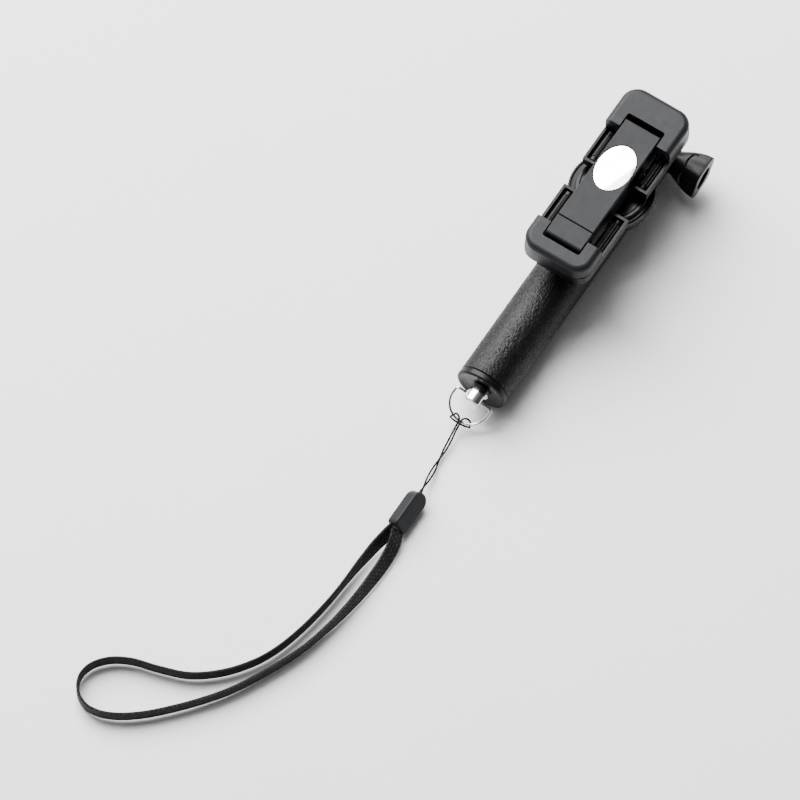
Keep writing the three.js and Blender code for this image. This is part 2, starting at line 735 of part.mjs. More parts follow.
// Radius of the knob at an angle from its wings: two wings, two low ridges and
// four hollow faces between them.
function knobRadius(angle, flare) {
  const sharpness = 6;
  const wing = Math.abs(Math.cos(angle)) ** sharpness;
  const ridge = Math.abs(Math.sin(angle)) ** sharpness;
  const star =
    KNOB_WING_RADIUS * wing +
    KNOB_WAIST_RADIUS * ridge +
    (KNOB_WAIST_RADIUS - KNOB_FACE_HOLLOW) * (1 - wing - ridge);
  return THREE.MathUtils.lerp(KNOB_NECK_RADIUS, star, flare);
}

function buildKnob() {
  const stations = 6;
  const profile = [new THREE.Vector2(0, 0)];
  for (let i = 0; i <= stations; i += 1) {
    profile.push(new THREE.Vector2(1, (i / stations) * KNOB_LENGTH));
  }
  profile.push(new THREE.Vector2(0, KNOB_LENGTH));
  const body = new THREE.LatheGeometry(profile, WIDE_ROUND);
  const position = body.attributes.position;
  for (let i = 0; i < position.count; i += 1) {
    const x = position.getX(i);
    const z = position.getZ(i);
    const onAxis = Math.hypot(x, z) < 0.5;
    if (!onAxis) {
      const angle = Math.atan2(z, x);
      const radius = knobRadius(angle, knobFlare(position.getY(i) / KNOB_LENGTH));
      position.setX(i, radius * Math.cos(angle));
      position.setZ(i, radius * Math.sin(angle));
    }
  }
  const pocketFloor = KNOB_LENGTH - KNOB_POCKET_DEPTH;
  const insertTop = pocketFloor - SEAT_GAP;
  const insertFoot = insertTop - INSERT_LENGTH;
  const hex = 6;
  const insertSeat = rod("y", INSERT_RADIUS, insertFoot, pocketFloor + PAST, [0, 0, 0], hex);
  const screwHole = rod("y", SCREW_RADIUS + SEAT_GAP, -PAST, pocketFloor);
  const pocket = rod("y", 1, pocketFloor, KNOB_LENGTH + PAST);
  pocket.scale(KNOB_POCKET_LONG, 1, KNOB_POCKET_WIDE);
  const turnedKnob = carve([body], [insertSeat, screwHole, pocket]);
  const insertRing = carve(
    [rod("y", INSERT_RADIUS - SEAT_GAP, insertFoot + SEAT_GAP, insertTop, [0, 0, 0], hex)],
    [rod("y", SCREW_RADIUS + RUN_GAP, 0, KNOB_LENGTH)],
  );

  const knob = new THREE.Group();
  knob.position.set(KNOB_X, 0, HINGE_Z);
  knob.rotation.set(KNOB_TURN, 0, 0);
  stick.add(knob);
  for (const geometry of [turnedKnob, insertRing]) {
    geometry.rotateZ(-Math.PI / 2);
  }
  add("thumb_knob", turnedKnob, PLASTIC_BLACK, knob);
  add("knob_insert", insertRing, BRASS, knob);
}

// --------------------------------------------------------------------- swivel

function buildSwivel() {
  const ribbed = new THREE.Shape();
  for (let i = 0; i < 2 * DISC_RIB_COUNT; i += 1) {
    const angle = (i / (2 * DISC_RIB_COUNT)) * 2 * Math.PI;
    const radius = PLATE_RADIUS - (i % 2) * DISC_RIB_DEPTH;
    const point = [radius * Math.cos(angle), radius * Math.sin(angle)];
    if (i === 0) {
      ribbed.moveTo(...point);
    } else {
      ribbed.lineTo(...point);
    }
  }
  const discBody = plate(ribbed, 0, DISC_THICKNESS);
  const grooveInner = DISC_GROOVE_RADIUS - DISC_GROOVE_HALF;
  const grooveOuter = DISC_GROOVE_RADIUS + DISC_GROOVE_HALF;
  const groove = turned([
    [grooveInner, DISC_THICKNESS - DISC_GROOVE_DEPTH],
    [grooveOuter, DISC_THICKNESS - DISC_GROOVE_DEPTH],
    [grooveOuter, DISC_THICKNESS + PAST],
    [grooveInner, DISC_THICKNESS + PAST],
  ]).rotateX(Math.PI / 2);
  const hole = rod("z", RIVET_RADIUS + RUN_GAP, -PAST, DISC_THICKNESS + PAST);
  const disc = carve([discBody], [groove, hole]).translate(0, PLATE_Y, DISC_Z);
  add("platform_disc", disc, PLASTIC_BLACK);

  const padTop = PAD_Z + PAD_THICKNESS;
  const padInner = RIVET_HEAD_RADIUS + 2 * SEAT_GAP;
  const pad = turned([
    [padInner, PAD_Z],
    [PAD_RADIUS, PAD_Z],
    [PAD_RADIUS, padTop - PAD_CHAMFER],
    [PAD_RADIUS - PAD_CHAMFER, padTop],
    [padInner, padTop],
  ]);
  add("platform_pad", upright(pad), PLASTIC_BLACK);

  const washer = turned(
    [
      [RIVET_RADIUS + RUN_GAP, PAD_Z],
      [RIVET_HEAD_RADIUS, PAD_Z],
      [RIVET_HEAD_RADIUS, padTop],
      [RIVET_RADIUS + RUN_GAP, padTop],
    ],
    SMALL_ROUND,
  );
  add("swivel_washer", upright(washer), BRIGHT_STEEL);

  const lowHead = PLATE_Z + RUN_GAP;
  const lowHeadTop = PLATE_Z + RIVET_HEAD_THICKNESS - RUN_GAP;
  const highHead = CHANNEL_Z - SEAT_GAP - RIVET_HEAD_THICKNESS;
  const rivet = turned(
    [
      [0, lowHead],
      [RIVET_HEAD_RADIUS, lowHead],
      [RIVET_HEAD_RADIUS, lowHeadTop],
      [RIVET_RADIUS, lowHeadTop],
      [RIVET_RADIUS, highHead],
      [RIVET_HEAD_RADIUS, highHead],
      [RIVET_HEAD_RADIUS, highHead + RIVET_HEAD_THICKNESS],
      [0, highHead + RIVET_HEAD_THICKNESS],
    ],
    SMALL_ROUND,
  );
  add("swivel_rivet", upright(rivet), BRIGHT_STEEL);
}

// Stands a turned piece on the swivel's axis, its heights along Z.
function upright(geometry) {
  return geometry.rotateX(Math.PI / 2).translate(0, PLATE_Y, 0);
}

// ------------------------------------------------------------------ clamp bar

function tabScrewHoles(y) {
  return [-1, 1].flatMap((side) => {
    return screwHole(side * FRAME_SCREW_X, y, BASE_Z + TAB_THICKNESS + PAST);
  });
}

// A small screw's shank hole up to topZ, and the seat of its head, from below.
function screwHole(x, y, topZ) {
  const seatTop = BASE_Z + SMALL_HEAD_LENGTH + RUN_GAP;
  return [
    rod("z", SMALL_SCREW_RADIUS + RUN_GAP, BASE_Z - PAST, topZ, [x, y, 0], PIN_ROUND),
    rod("z", SMALL_HEAD_RADIUS + RUN_GAP, BASE_Z - PAST, seatTop, [x, y, 0], PIN_ROUND),
  ];
}

function buildBase() {
  const tabTop = BASE_Z + TAB_THICKNESS;
  const plateCentre = [0, PLATE_Y, 0];
  const body = barBox(BASE_HALF_WIDTH, COVER_SEAM_Y, BASE_UPPER_Y, BASE_Z, BASE_TOP);
  const tab = barBox(TAB_HALF_WIDTH, BASE_UPPER_Y - PAST, FRAME_TAB_Y, BASE_Z, tabTop);
  const channel = barBox(
    CHANNEL_HALF,
    COVER_SEAM_Y - PAST,
    CHANNEL_END_Y,
    CHANNEL_Z,
    CHANNEL_TOP,
  );
  const rivetHole = rod(
    "z",
    RIVET_RADIUS + RUN_GAP,
    BASE_Z - PAST,
    CHANNEL_Z + PAST,
    plateCentre,
  );
  const rivetSeat = rod(
    "z",
    RIVET_HEAD_RADIUS + SEAT_GAP,
    CHANNEL_Z - 2 * SEAT_GAP - RIVET_HEAD_THICKNESS,
    CHANNEL_Z + PAST,
    plateCentre,
  );
  const coverScrewY = (CHANNEL_END_Y + BASE_UPPER_Y) / 2;
  const holes = [-1, 1].flatMap((side) =>
    screwHole(side * COVER_SCREW_X, coverScrewY, BASE_TOP + PAST),
  );
  const hollow = carve(
    [body, tab],
    [channel, rivetHole, rivetSeat, ...holes, ...tabScrewHoles(FRAME_TAB_Y - TAB_SCREW_INSET)],
  );
  const pinRoot = SEAT_GAP; // how deep a pin is rooted in the floor and the roof
  const anchors = [-1, 1].map((side) =>
    rod(
      "z",
      SPRING_PIN_RADIUS,
      CHANNEL_Z - pinRoot,
      CHANNEL_TOP + pinRoot,
      [side * SPRING_X, SPRING_UPPER_Y, 0],
      PIN_ROUND,
    ),
  );
  add("clamp_base", carve([hollow, ...anchors]), PLASTIC_BLACK);

  const screwTip = COVER_Z + COVER_SCREW_DEPTH;
  const seat = new THREE.Shape();
  seat.absellipse(0, MIRROR_Y, MIRROR_HALF_X + RUN_GAP, MIRROR_HALF_Y + RUN_GAP, 0, 2 * Math.PI);
  const threads = [-1, 1].map((side) =>
    rod(
      "z",
      SMALL_SCREW_RADIUS + RUN_GAP,
      COVER_Z - PAST,
      screwTip + RUN_GAP,
      [side * COVER_SCREW_X, coverScrewY, 0],
      PIN_ROUND,
    ),
  );
  const cover = carve(
    [barBox(COVER_HALF_WIDTH, COVER_SEAM_Y, COVER_UPPER_Y, COVER_Z, FACE_Z)],
    [plate(seat, FACE_Z - MIRROR_SINK, MIRROR_SINK + PAST, MIRROR_FACETS), ...threads],
  );
  add("bar_cover", cover, PLASTIC_SATIN);

  const glass = new THREE.Shape();
  glass.absellipse(0, 0, MIRROR_HALF_X, MIRROR_HALF_Y, 0, 2 * Math.PI);
  const disc = plate(glass, 0, MIRROR_SINK - 2 * RUN_GAP, MIRROR_FACETS);
  const mirror = carve([disc, mirrorCrown()]);
  mirror.translate(0, MIRROR_Y, FACE_Z - MIRROR_SINK + RUN_GAP);
  add("mirror", mirror, MIRROR_FACE);

  for (const [index, side] of [[1, -1], [2, 1]]) {
    const screw = smallScrew(screwTip).translate(side * COVER_SCREW_X, coverScrewY, 0);
    add(`cover_screw_${index}`, screw, BRIGHT_STEEL);
  }
}

// The mirror's convex face: a low cap of an ellipsoid on its rim.
function mirrorCrown() {
  const rings = 4;
  const rimZ = MIRROR_SINK - 2 * RUN_GAP;
  const profile = [new THREE.Vector2(0, rimZ / 2)];
  for (let i = 0; i < rings; i += 1) {
    const angle = ((i / rings) * Math.PI) / 2;
    profile.push(new THREE.Vector2(Math.cos(angle), rimZ + MIRROR_CROWN * Math.sin(angle)));
  }
  profile.push(new THREE.Vector2(0, rimZ + MIRROR_CROWN));
  return new THREE.LatheGeometry(profile, 2 * MIRROR_FACETS)
    .rotateX(Math.PI / 2)
    .scale(MIRROR_HALF_X - MIRROR_RIM, MIRROR_HALF_Y - MIRROR_RIM, 1);
}

// A small pan screw whose head sits in the underside and whose tip is at tipZ.
function smallScrew(tipZ) {
  return turned(
    [
      [0, BASE_Z + RUN_GAP],
      [SMALL_HEAD_RADIUS, BASE_Z + RUN_GAP],
      [SMALL_HEAD_RADIUS, BASE_Z + SMALL_HEAD_LENGTH],
      [SMALL_SCREW_RADIUS, BASE_Z + SMALL_HEAD_LENGTH],
      [SMALL_SCREW_RADIUS, tipZ],
      [0, tipZ],
    ],
    PIN_ROUND,
  ).rotateX(Math.PI / 2);
}

function buildTongue() {
  const footTop = COVER_SEAM_Y - SEAT_GAP;
  const tabTop = BASE_Z + TAB_THICKNESS;
  const block = barBox(TONGUE_HALF, TONGUE_LOWER_Y, TONGUE_UPPER_Y, TONGUE_Z, TONGUE_TOP);
  const foot = barBox(TAB_HALF_WIDTH, TONGUE_LOWER_Y, footTop, BASE_Z, TONGUE_TOP);
  const tab = barBox(TAB_HALF_WIDTH, LOWER_TAB_Y, TONGUE_LOWER_Y + PAST, BASE_Z, tabTop);
  const hollow = barBox(
    TONGUE_HALF - TONGUE_WALL,
    SPRING_LOWER_Y - SPRING_PIN_INSET,
    TONGUE_UPPER_Y + PAST,
    TONGUE_Z + TONGUE_WALL,
    TONGUE_TOP - TONGUE_WALL,
  );
  const shell = carve(
    [block, foot, tab],
    [hollow, ...tabScrewHoles(LOWER_TAB_Y + TAB_SCREW_INSET)],
  );
  const pinRoot = TONGUE_WALL / 2;
  const anchors = [-1, 1].map((side) =>
    rod(
      "z",
      SPRING_PIN_RADIUS,
      TONGUE_Z + pinRoot,
      TONGUE_TOP - pinRoot,
      [side * SPRING_X, SPRING_LOWER_Y, 0],
      PIN_ROUND,
    ),
  );
  add("clamp_tongue", carve([shell, ...anchors]), PLASTIC_BLACK);
  add("bar_end_cover", endCoverGeometry(), PLASTIC_SATIN);
}

// The cover over the tongue's foot: a top plate and a skirt with a round edge.
function endCoverGeometry() {
  const outY = COVER_LOWER_Y - TRAY_END_WALL;
  const top = barBox(
    COVER_HALF_WIDTH,
    COVER_LOWER_Y,
    COVER_SEAM_Y - SEAT_GAP,
    TONGUE_TOP + SEAT_GAP,
    FACE_Z,
  );
  const skirt = barBox(
    COVER_HALF_WIDTH,
    outY,
    TONGUE_LOWER_Y - SEAT_GAP,
    FACE_Z - END_SKIRT_DEPTH,
    FACE_Z,
  );
  const edge = new THREE.Shape();
  edge.moveTo(outY - PAST, FACE_Z + PAST);
  edge.lineTo(outY - PAST, FACE_Z - END_COVER_ROUND);
  edge.lineTo(outY, FACE_Z - END_COVER_ROUND);
  edge.quadraticCurveTo(outY, FACE_Z, outY + END_COVER_ROUND, FACE_Z);
  edge.lineTo(outY + END_COVER_ROUND, FACE_Z + PAST);
  return carve([top, skirt], [crossPlate(edge, COVER_HALF_WIDTH + PAST)]);
}

// A tension spring along Y between the tongue's pin and the base's pin.
class SpringCurve extends THREE.Curve {
  constructor(length) {
    super();
    this.length = length;
  }

  getPoint(t, target = new THREE.Vector3()) {
    const angle = t * SPRING_TURNS * 2 * Math.PI;
    return target.set(
      SPRING_RADIUS * Math.cos(angle),
      t * this.length,
      SPRING_RADIUS * Math.sin(angle),
    );
  }
}

function buildSprings() {
  const clear = SPRING_PIN_RADIUS + SPRING_WIRE_RADIUS + SEAT_GAP;
  const length = SPRING_UPPER_Y - SPRING_LOWER_Y - 2 * clear;
  const section = sidedShape(SPRING_WIRE_RADIUS, 4);
  const stepsPerTurn = 6;
  for (const [name, side] of [["clamp_spring_left", -1], ["clamp_spring_right", 1]]) {
    const coil = swept(section, new SpringCurve(length), SPRING_TURNS * stepsPerTurn);
    const spring = add(name, coil, BRIGHT_STEEL);
    spring.position.set(side * SPRING_X, SPRING_LOWER_Y + clear, (TONGUE_Z + TONGUE_TOP) / 2);
  }
}

// ----------------------------------------------------- frames, pads and claws

// Each end of the clamp: where its arms, legs, notch and outer end lie, and
// which way is outwards along Y.
const UPPER_END = {
  out: 1,
  armY: UPPER_ARM_END_Y,
  legY: UPPER_CLAW_LEG_Y,
  notchY: UPPER_CLAW_NOTCH_Y,
  endY: UPPER_CLAW_END_Y,
  tabScrewY: FRAME_TAB_Y - TAB_SCREW_INSET,
};
const LOWER_END = {
  out: -1,
  armY: LOWER_ARM_END_Y,
  legY: LOWER_CLAW_LEG_Y,
  notchY: LOWER_CLAW_NOTCH_Y,
  endY: LOWER_CLAW_END_Y,
  tabScrewY: LOWER_TAB_Y + TAB_SCREW_INSET,
};

// A box with one side at each of two Y values, in either order.
function endBox(lowX, highX, yA, yB, lowZ, highZ) {
  return box([lowX, Math.min(yA, yB), lowZ], [highX, Math.max(yA, yB), highZ]);
}

// A half-round bar along Y, standing on the tray's floor.
function halfRound(x, yA, yB, footZ) {
  const low = Math.min(yA, yB);
  const high = Math.max(yA, yB);
  const shape = new THREE.Shape();
  shape.moveTo(PAD_STRIP_RADIUS, 0);
  shape.absarc(0, 0, PAD_STRIP_RADIUS, 0, Math.PI, false);
  return new THREE.ExtrudeGeometry(shape, {
    depth: high - low,
    bevelEnabled: false,
    curveSegments: 8,
  })
    .rotateX(Math.PI / 2)
    .translate(x, high, footZ);
}

// Where each collar of an arm starts: one by the arm's end, one by the claw's leg.
function collarStations(end) {
  const { out } = end;
  return [
    end.armY + out * (TRAY_END_WALL + COLLAR_ARM_GAP),
    end.legY - out * (COLLAR_STRIP_LENGTH + COLLAR_LEG_GAP),
  ];
}

function pivotOf(end) {
  return end.legY + end.out * PIVOT_INSET;
}

function pinHoleOf(end) {
  return rod(
    "x",
    PIN_RADIUS + RUN_GAP,
    -CLAMP_HALF_WIDTH - PAST,
    CLAMP_HALF_WIDTH + PAST,
    [0, pivotOf(end), PIVOT_Z],
    PIN_ROUND,
  );
}

// The two trays beside the bar, joined past its end by a web.
function frameGeometry(end) {
  const { out } = end;
  const outerY = end.endY - out * FRAME_SETBACK;
  const outline = roundEndShape(CLAMP_HALF_WIDTH, end.armY, outerY, CORNER_RADIUS - FRAME_SETBACK);
  const body = plate(outline, FRAME_Z, FRAME_THICKNESS, 6);
  const pivotY = pivotOf(end);
  const trayEnd = pivotY + out * (EAR_RADIUS + PAST);
  const floorZ = FRAME_Z + TRAY_FLOOR;
  const cuts = [
    endBox(
      -FRAME_SLOT_HALF,
      FRAME_SLOT_HALF,
      end.armY - out * PAST,
      end.notchY - out * FRAME_WEB_SETBACK,
      FRAME_Z - PAST,
      FRAME_TOP + PAST,
    ),
    pinHoleOf(end),
  ];
  const collars = [];
  const ears = [];
  for (const side of [-1, 1]) {
    const slotSide = side * (FRAME_SLOT_HALF - PAST);
    const railSide = side * (CLAMP_HALF_WIDTH - TRAY_RAIL);
    const trayLow = Math.min(slotSide, railSide);
    const trayHigh = Math.max(slotSide, railSide);
    const trayStart = end.armY + out * TRAY_END_WALL;
    cuts.push(endBox(trayLow, trayHigh, trayStart, trayEnd, floorZ, FRAME_TOP + PAST));
    const reliefLow = side * CLAMP_HALF_WIDTH - 2 * TRAY_RAIL;
    const reliefHigh = reliefLow + 4 * TRAY_RAIL;
    const reliefZ = FRAME_TOP - RAIL_RELIEF;
    cuts.push(endBox(reliefLow, reliefHigh, end.legY - out, trayEnd, reliefZ, FRAME_TOP + PAST));
    const screw = [side * FRAME_SCREW_X, end.tabScrewY, 0];
    const screwTop = FRAME_TOP - FRAME_SCREW_SHORT + RUN_GAP;
    cuts.push(rod("z", SMALL_SCREW_RADIUS + RUN_GAP, FRAME_Z - PAST, screwTop, screw, PIN_ROUND));
    for (const y of collarStations(end)) {
      collars.push(halfRound(side * TRAY_X, y, y + out * COLLAR_STRIP_LENGTH, floorZ - RUN_GAP));
    }
    const earLow = side * EAR_X - EAR_THICKNESS / 2;
    const earHigh = earLow + EAR_THICKNESS;
    const earRootZ = FRAME_Z + TRAY_FLOOR / 2;
    ears.push(
      endBox(earLow, earHigh, pivotY - EAR_RADIUS, pivotY + EAR_RADIUS, earRootZ, PIVOT_Z),
      rod("x", EAR_RADIUS, earLow, earHigh, [0, pivotY, PIVOT_Z]),
    );
  }
  const tray = carve([body], cuts);
  return carve([tray, ...collars, ...ears], [pinHoleOf(end)]);
}

// A flat U with a round outer end: its legs reach down beside the bar's end.
function clawGeometry(end) {
  const { out } = end;
  const inset = CLAW_EDGE_RADIUS;
  const far = 2 * CLAMP_HALF_WIDTH;
  const outline = roundEndShape(
    CLAMP_HALF_WIDTH - inset,
    end.legY - out * 2 * inset,
    end.endY - out * inset,
    CORNER_RADIUS - inset,
  );
  const body = new THREE.ExtrudeGeometry(outline, {
    depth: CLAW_THICKNESS,
    bevelThickness: inset,
    bevelSize: inset,
    bevelSegments: 3,
    curveSegments: 6,
  }).translate(0, 0, FACE_Z - inset - CLAW_THICKNESS);
  const pastLegs = end.legY - out * far;
  const below = CLAW_Z - far;
  const above = FACE_Z + PAST;
  const notch = endBox(-CLAW_SLOT_HALF, CLAW_SLOT_HALF, pastLegs, end.notchY, below, above);
  const relief = endBox(
    -CLAW_SLOT_HALF,
    CLAW_SLOT_HALF,
    pastLegs,
    end.notchY + out * CLAW_RELIEF,
    below,
    FACE_Z - CLAW_LIP,
  );
  const legEnds = endBox(-far, far, pastLegs, end.legY, below, above);
  const underside = endBox(-far, far, pastLegs, end.endY + out * far, below, CLAW_Z);
  const earSlots = [-1, 1].map((side) =>
    endBox(
      side * EAR_X - EAR_THICKNESS / 2 - SEAT_GAP,
      side * EAR_X + EAR_THICKNESS / 2 + SEAT_GAP,
      end.legY - out * PAST,
      pivotOf(end) + out * (EAR_RADIUS + SEAT_GAP),
      CLAW_Z - PAST,
      PIVOT_Z + EAR_RADIUS + SEAT_GAP,
    ),
  );
  return carve([body], [notch, relief, legEnds, underside, ...earSlots, pinHoleOf(end)]);
}

// A ribbed rubber strip: a half-round bar with three grooves along it.
function padGeometry(x, yA, yB) {
  const footZ = FRAME_Z + TRAY_FLOOR + RUN_GAP;
  const grooves = [-1, 0, 1].map((k) => {
    const offset = k * PAD_GROOVE_PITCH;
    const crestZ = footZ + Math.sqrt(PAD_STRIP_RADIUS ** 2 - offset ** 2);
    return endBox(
      x + offset - PAD_GROOVE_WIDTH / 2,
      x + offset + PAD_GROOVE_WIDTH / 2,
      Math.min(yA, yB) - PAST,
      Math.max(yA, yB) + PAST,
      crestZ - PAD_GROOVE_DEPTH,
      footZ + PAD_STRIP_RADIUS + PAST,
    );
  });
  return carve([halfRound(x, yA, yB, footZ)], grooves);
}

function buildEnd(prefix, end, firstIndex) {
  const { out } = end;
  add(`${prefix}_frame`, frameGeometry(end), PLASTIC_BLACK);
  add(`${prefix}_claw`, clawGeometry(end), PLASTIC_SATIN);
  const [armCollar, legCollar] = collarStations(end);
  const padStart = armCollar + out * (COLLAR_STRIP_LENGTH + SEAT_GAP);
  const padEnd = legCollar - out * SEAT_GAP;
  [-1, 1].forEach((side, i) => {
    const index = firstIndex + i;
    add(`grip_pad_${index}`, padGeometry(side * TRAY_X, padStart, padEnd), RUBBER_BLACK);
    const inner = side * (CLAW_SLOT_HALF + SEAT_GAP);
    const outer = side * (CLAMP_HALF_WIDTH - SEAT_GAP);
    const low = Math.min(inner, outer);
    const high = Math.max(inner, outer);
    const pin = rod("x", PIN_RADIUS, low, high, [0, pivotOf(end), PIVOT_Z], PIN_ROUND);
    add(`claw_pin_${index}`, pin, BRIGHT_STEEL);
    const screw = smallScrew(FRAME_TOP - FRAME_SCREW_SHORT);
    screw.translate(side * FRAME_SCREW_X, end.tabScrewY, 0);
    add(`frame_screw_${index}`, screw, BRIGHT_STEEL);
  });
}

// ---------------------------------------------------------------------- strap

// The moulded piece that joins the thin cord to the tape. It rests on one long
// edge, held up by the tape.
function buildSlider() {
  const bevel = SLIDER_BEVEL;
  const corner = SLIDER_CORNER;
  const half = SLIDER_WIDTH / 2 - bevel;
  const end = SLIDER_LENGTH / 2 - bevel;
  const shape = new THREE.Shape();
  shape.moveTo(corner - half, -end);
  shape.lineTo(half - corner, -end);
  shape.quadraticCurveTo(half, -end, half, corner - end);
  shape.lineTo(half, end - half);
  shape.absarc(0, end - half, half, 0, Math.PI, false);
  shape.lineTo(-half, corner - end);
  shape.quadraticCurveTo(-half, -end, corner - half, -end);
  const body = new THREE.ExtrudeGeometry(shape, {
    depth: SLIDER_THICKNESS - 2 * bevel,
    bevelThickness: bevel,
    bevelSize: bevel,
    bevelSegments: 2,
    curveSegments: 6,
  });
  body.translate(0, 0, bevel - SLIDER_THICKNESS / 2);
  body.rotateY((SLIDER_ROLL * Math.PI) / 180);
  body.computeBoundingBox();
  const slider = add("strap_slider", toGeometry(solid(body)), PLASTIC_SATIN);
  slider.position.set(SLIDER_X, SLIDER_Y, RUN_GAP - body.boundingBox.min.z);
  return slider;
}

// The thin cord: from the slider up to the ring, round its wire in a wide girth
// hitch and back down to the slider. The strands cross twice on the way.
const CORD_ROUTE = [
  [3.1, -172.8, 4.9],
  [2.1, -169.4, 4.1],
  [0.95, -165.5, 2.5],
  [0.2, -160.5, 1.4],
  [0.3, -156, 1.55],
  [0.4, -151, 1.5],
  [0.05, -146.4, 2.3],
  [-0.45, -142.5, 3.4],
  [-0.6, -139.8, 4.25],
  [-0.65, -138.55, 5.1],
  [-0.3, -137.7, 5.4],
  [0.6, -136.8, 5.25],
  [1.6, -136.4, 4.4],
  [2.3, -136.5, 3.3],
  [2.7, -137.2, 2.6],
  [3.0, -138, 2.75],
  [3.3, -138.7, 3.55],
  [2.8, -139.2, 4.45],
  [1.3, -139.8, 5],
  [-1.1, -140.05, 5.35],
  [-3.6, -139.95, 5.6],
  [-5, -139.5, 5.3],
  [-5.2, -138.75, 4.5],
  [-4.75, -137.85, 4.05],
  [-4.4, -137.25, 4.85],
  [-3.9, -137.25, 5.75],
  [-3.1, -137.35, 6.05],
  [-2.2, -137.8, 5.8],
  [-1.6, -138.55, 5.3],
  [-1.5, -139.8, 4.45],
  [-1.35, -142.5, 3.4],
  [-1.05, -146.4, 2.2],
  [-0.7, -151, 1],
  [0.3, -156, 0.55],
  [1.5, -160.5, 1.2],
  [2.1, -165.5, 2.3],
  [2.1, -169.4, 3.1],
  [2.2, -172.8, 4.3],
];

// The tape: a closed loop out of the slider's lower end, standing on its edge.
const TAPE_ROUTE = [
  [1.5, -191.2],
  [1, -195.5],
  [0, -201.5],
  [-1, -211.3],
  [-1.5, -219.8],
  [-2, -228],
  [-3, -237],
  [-5, -248],
  [-8, -258.5],
  [-12, -267],
  [-19.5, -277],
  [-30, -285.5],
  [-42, -290],
  [-52.5, -293],
  [-60, -297.5],
  [-64.5, -303.5],
  [-65.2, -309.5],
  [-62.3, -315],
  [-57, -318],
  [-51, -317.8],
  [-44, -314.8],
  [-36, -308.8],
  [-29, -301.8],
  [-22, -293.8],
  [-14, -283],
  [-7.5, -271],
  [-0.5, -254.8],
  [3.3, -240.8],
  [5.4, -228.8],
  [6.4, -218],
  [6.7, -205],
  [6, -196],
  [4.6, -191.2],
];

function buildStrap() {
  const cordCurve = new THREE.CatmullRomCurve3(
    CORD_ROUTE.map((point) => new THREE.Vector3(...point)),
    false,
    "centripetal",
  );
  const cordSteps = 96;
  const cord = swept(sidedShape(CORD_RADIUS, 8), cordCurve, cordSteps);

  const tapeZ = TAPE_WIDTH / 2 + RUN_GAP;
  const tapeCurve = new THREE.CatmullRomCurve3(
    TAPE_ROUTE.map(([x, y]) => new THREE.Vector3(x, y, tapeZ)),
    false,
    "centripetal",
  );
  const halfWidth = TAPE_WIDTH / 2;
  const halfThick = TAPE_THICKNESS / 2;
  const nip = TAPE_EDGE;
  const section = new THREE.Shape([
    new THREE.Vector2(halfWidth, halfThick - nip),
    new THREE.Vector2(halfWidth - nip, halfThick),
    new THREE.Vector2(nip - halfWidth, halfThick),
    new THREE.Vector2(-halfWidth, halfThick - nip),
    new THREE.Vector2(-halfWidth, nip - halfThick),
    new THREE.Vector2(nip - halfWidth, -halfThick),
    new THREE.Vector2(halfWidth - nip, -halfThick),
    new THREE.Vector2(halfWidth, nip - halfThick),
  ]);
  const tapeSteps = 30;
  const tape = swept(section, tapeCurve, tapeSteps);
  const pieces = [
    buildSlider(),
    add("strap_cord", cord, STRAP_BLACK),
    add("strap_webbing", tape, STRAP_BLACK),
  ];
  for (const piece of pieces) {
    piece.position.y += CAP_FACE_Y - STRAP_CAP_Y;
  }
}

buildHandle();
buildPost();
buildPole();
buildFork();
buildHingeArm();
buildHingeScrew();
buildKnob();
buildSwivel();
buildBase();
buildTongue();
buildSprings();
buildEnd("upper", UPPER_END, 1);
buildEnd("lower", LOWER_END, 3);
buildStrap();

stick.position.y = -FOOT_Y;

export default stick;
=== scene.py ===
import json
import math

import bmesh
import bpy
import numpy as np
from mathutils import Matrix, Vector, noise

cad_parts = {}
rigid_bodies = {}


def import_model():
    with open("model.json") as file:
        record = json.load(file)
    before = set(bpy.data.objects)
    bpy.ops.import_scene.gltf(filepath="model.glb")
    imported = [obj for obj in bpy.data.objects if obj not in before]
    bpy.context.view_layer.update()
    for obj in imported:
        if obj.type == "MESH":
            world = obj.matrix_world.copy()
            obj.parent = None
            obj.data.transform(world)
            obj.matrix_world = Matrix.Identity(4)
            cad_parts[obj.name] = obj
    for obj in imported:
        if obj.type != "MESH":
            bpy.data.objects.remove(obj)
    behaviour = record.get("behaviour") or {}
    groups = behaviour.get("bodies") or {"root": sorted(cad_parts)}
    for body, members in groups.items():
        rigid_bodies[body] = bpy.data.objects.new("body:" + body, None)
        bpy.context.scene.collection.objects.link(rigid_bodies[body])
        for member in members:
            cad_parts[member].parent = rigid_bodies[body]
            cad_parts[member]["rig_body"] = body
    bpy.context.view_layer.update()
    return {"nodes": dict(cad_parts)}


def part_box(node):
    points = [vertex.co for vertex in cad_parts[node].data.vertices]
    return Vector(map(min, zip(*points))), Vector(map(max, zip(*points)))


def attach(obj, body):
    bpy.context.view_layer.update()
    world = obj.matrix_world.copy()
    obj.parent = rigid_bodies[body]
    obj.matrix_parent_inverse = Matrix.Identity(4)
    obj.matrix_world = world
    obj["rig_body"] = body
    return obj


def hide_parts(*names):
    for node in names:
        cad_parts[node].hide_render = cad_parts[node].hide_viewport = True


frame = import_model()
NODES = frame["nodes"]
MM = 0.001
UP = Vector((0, 0, 1))

# ------------------------------------------------------------------ the camera

AZIMUTH = math.radians(33.0)
ELEVATION = math.radians(65.1)
CAMERA_DISTANCE = 3.0  # far off, since the photo shows hardly any perspective
FRAME_SPAN = 0.3137  # width of what the picture shows, at the target
SENSOR_WIDTH = 36.0
TARGET = Vector((-26.74, -130.38, 0.36)) * MM


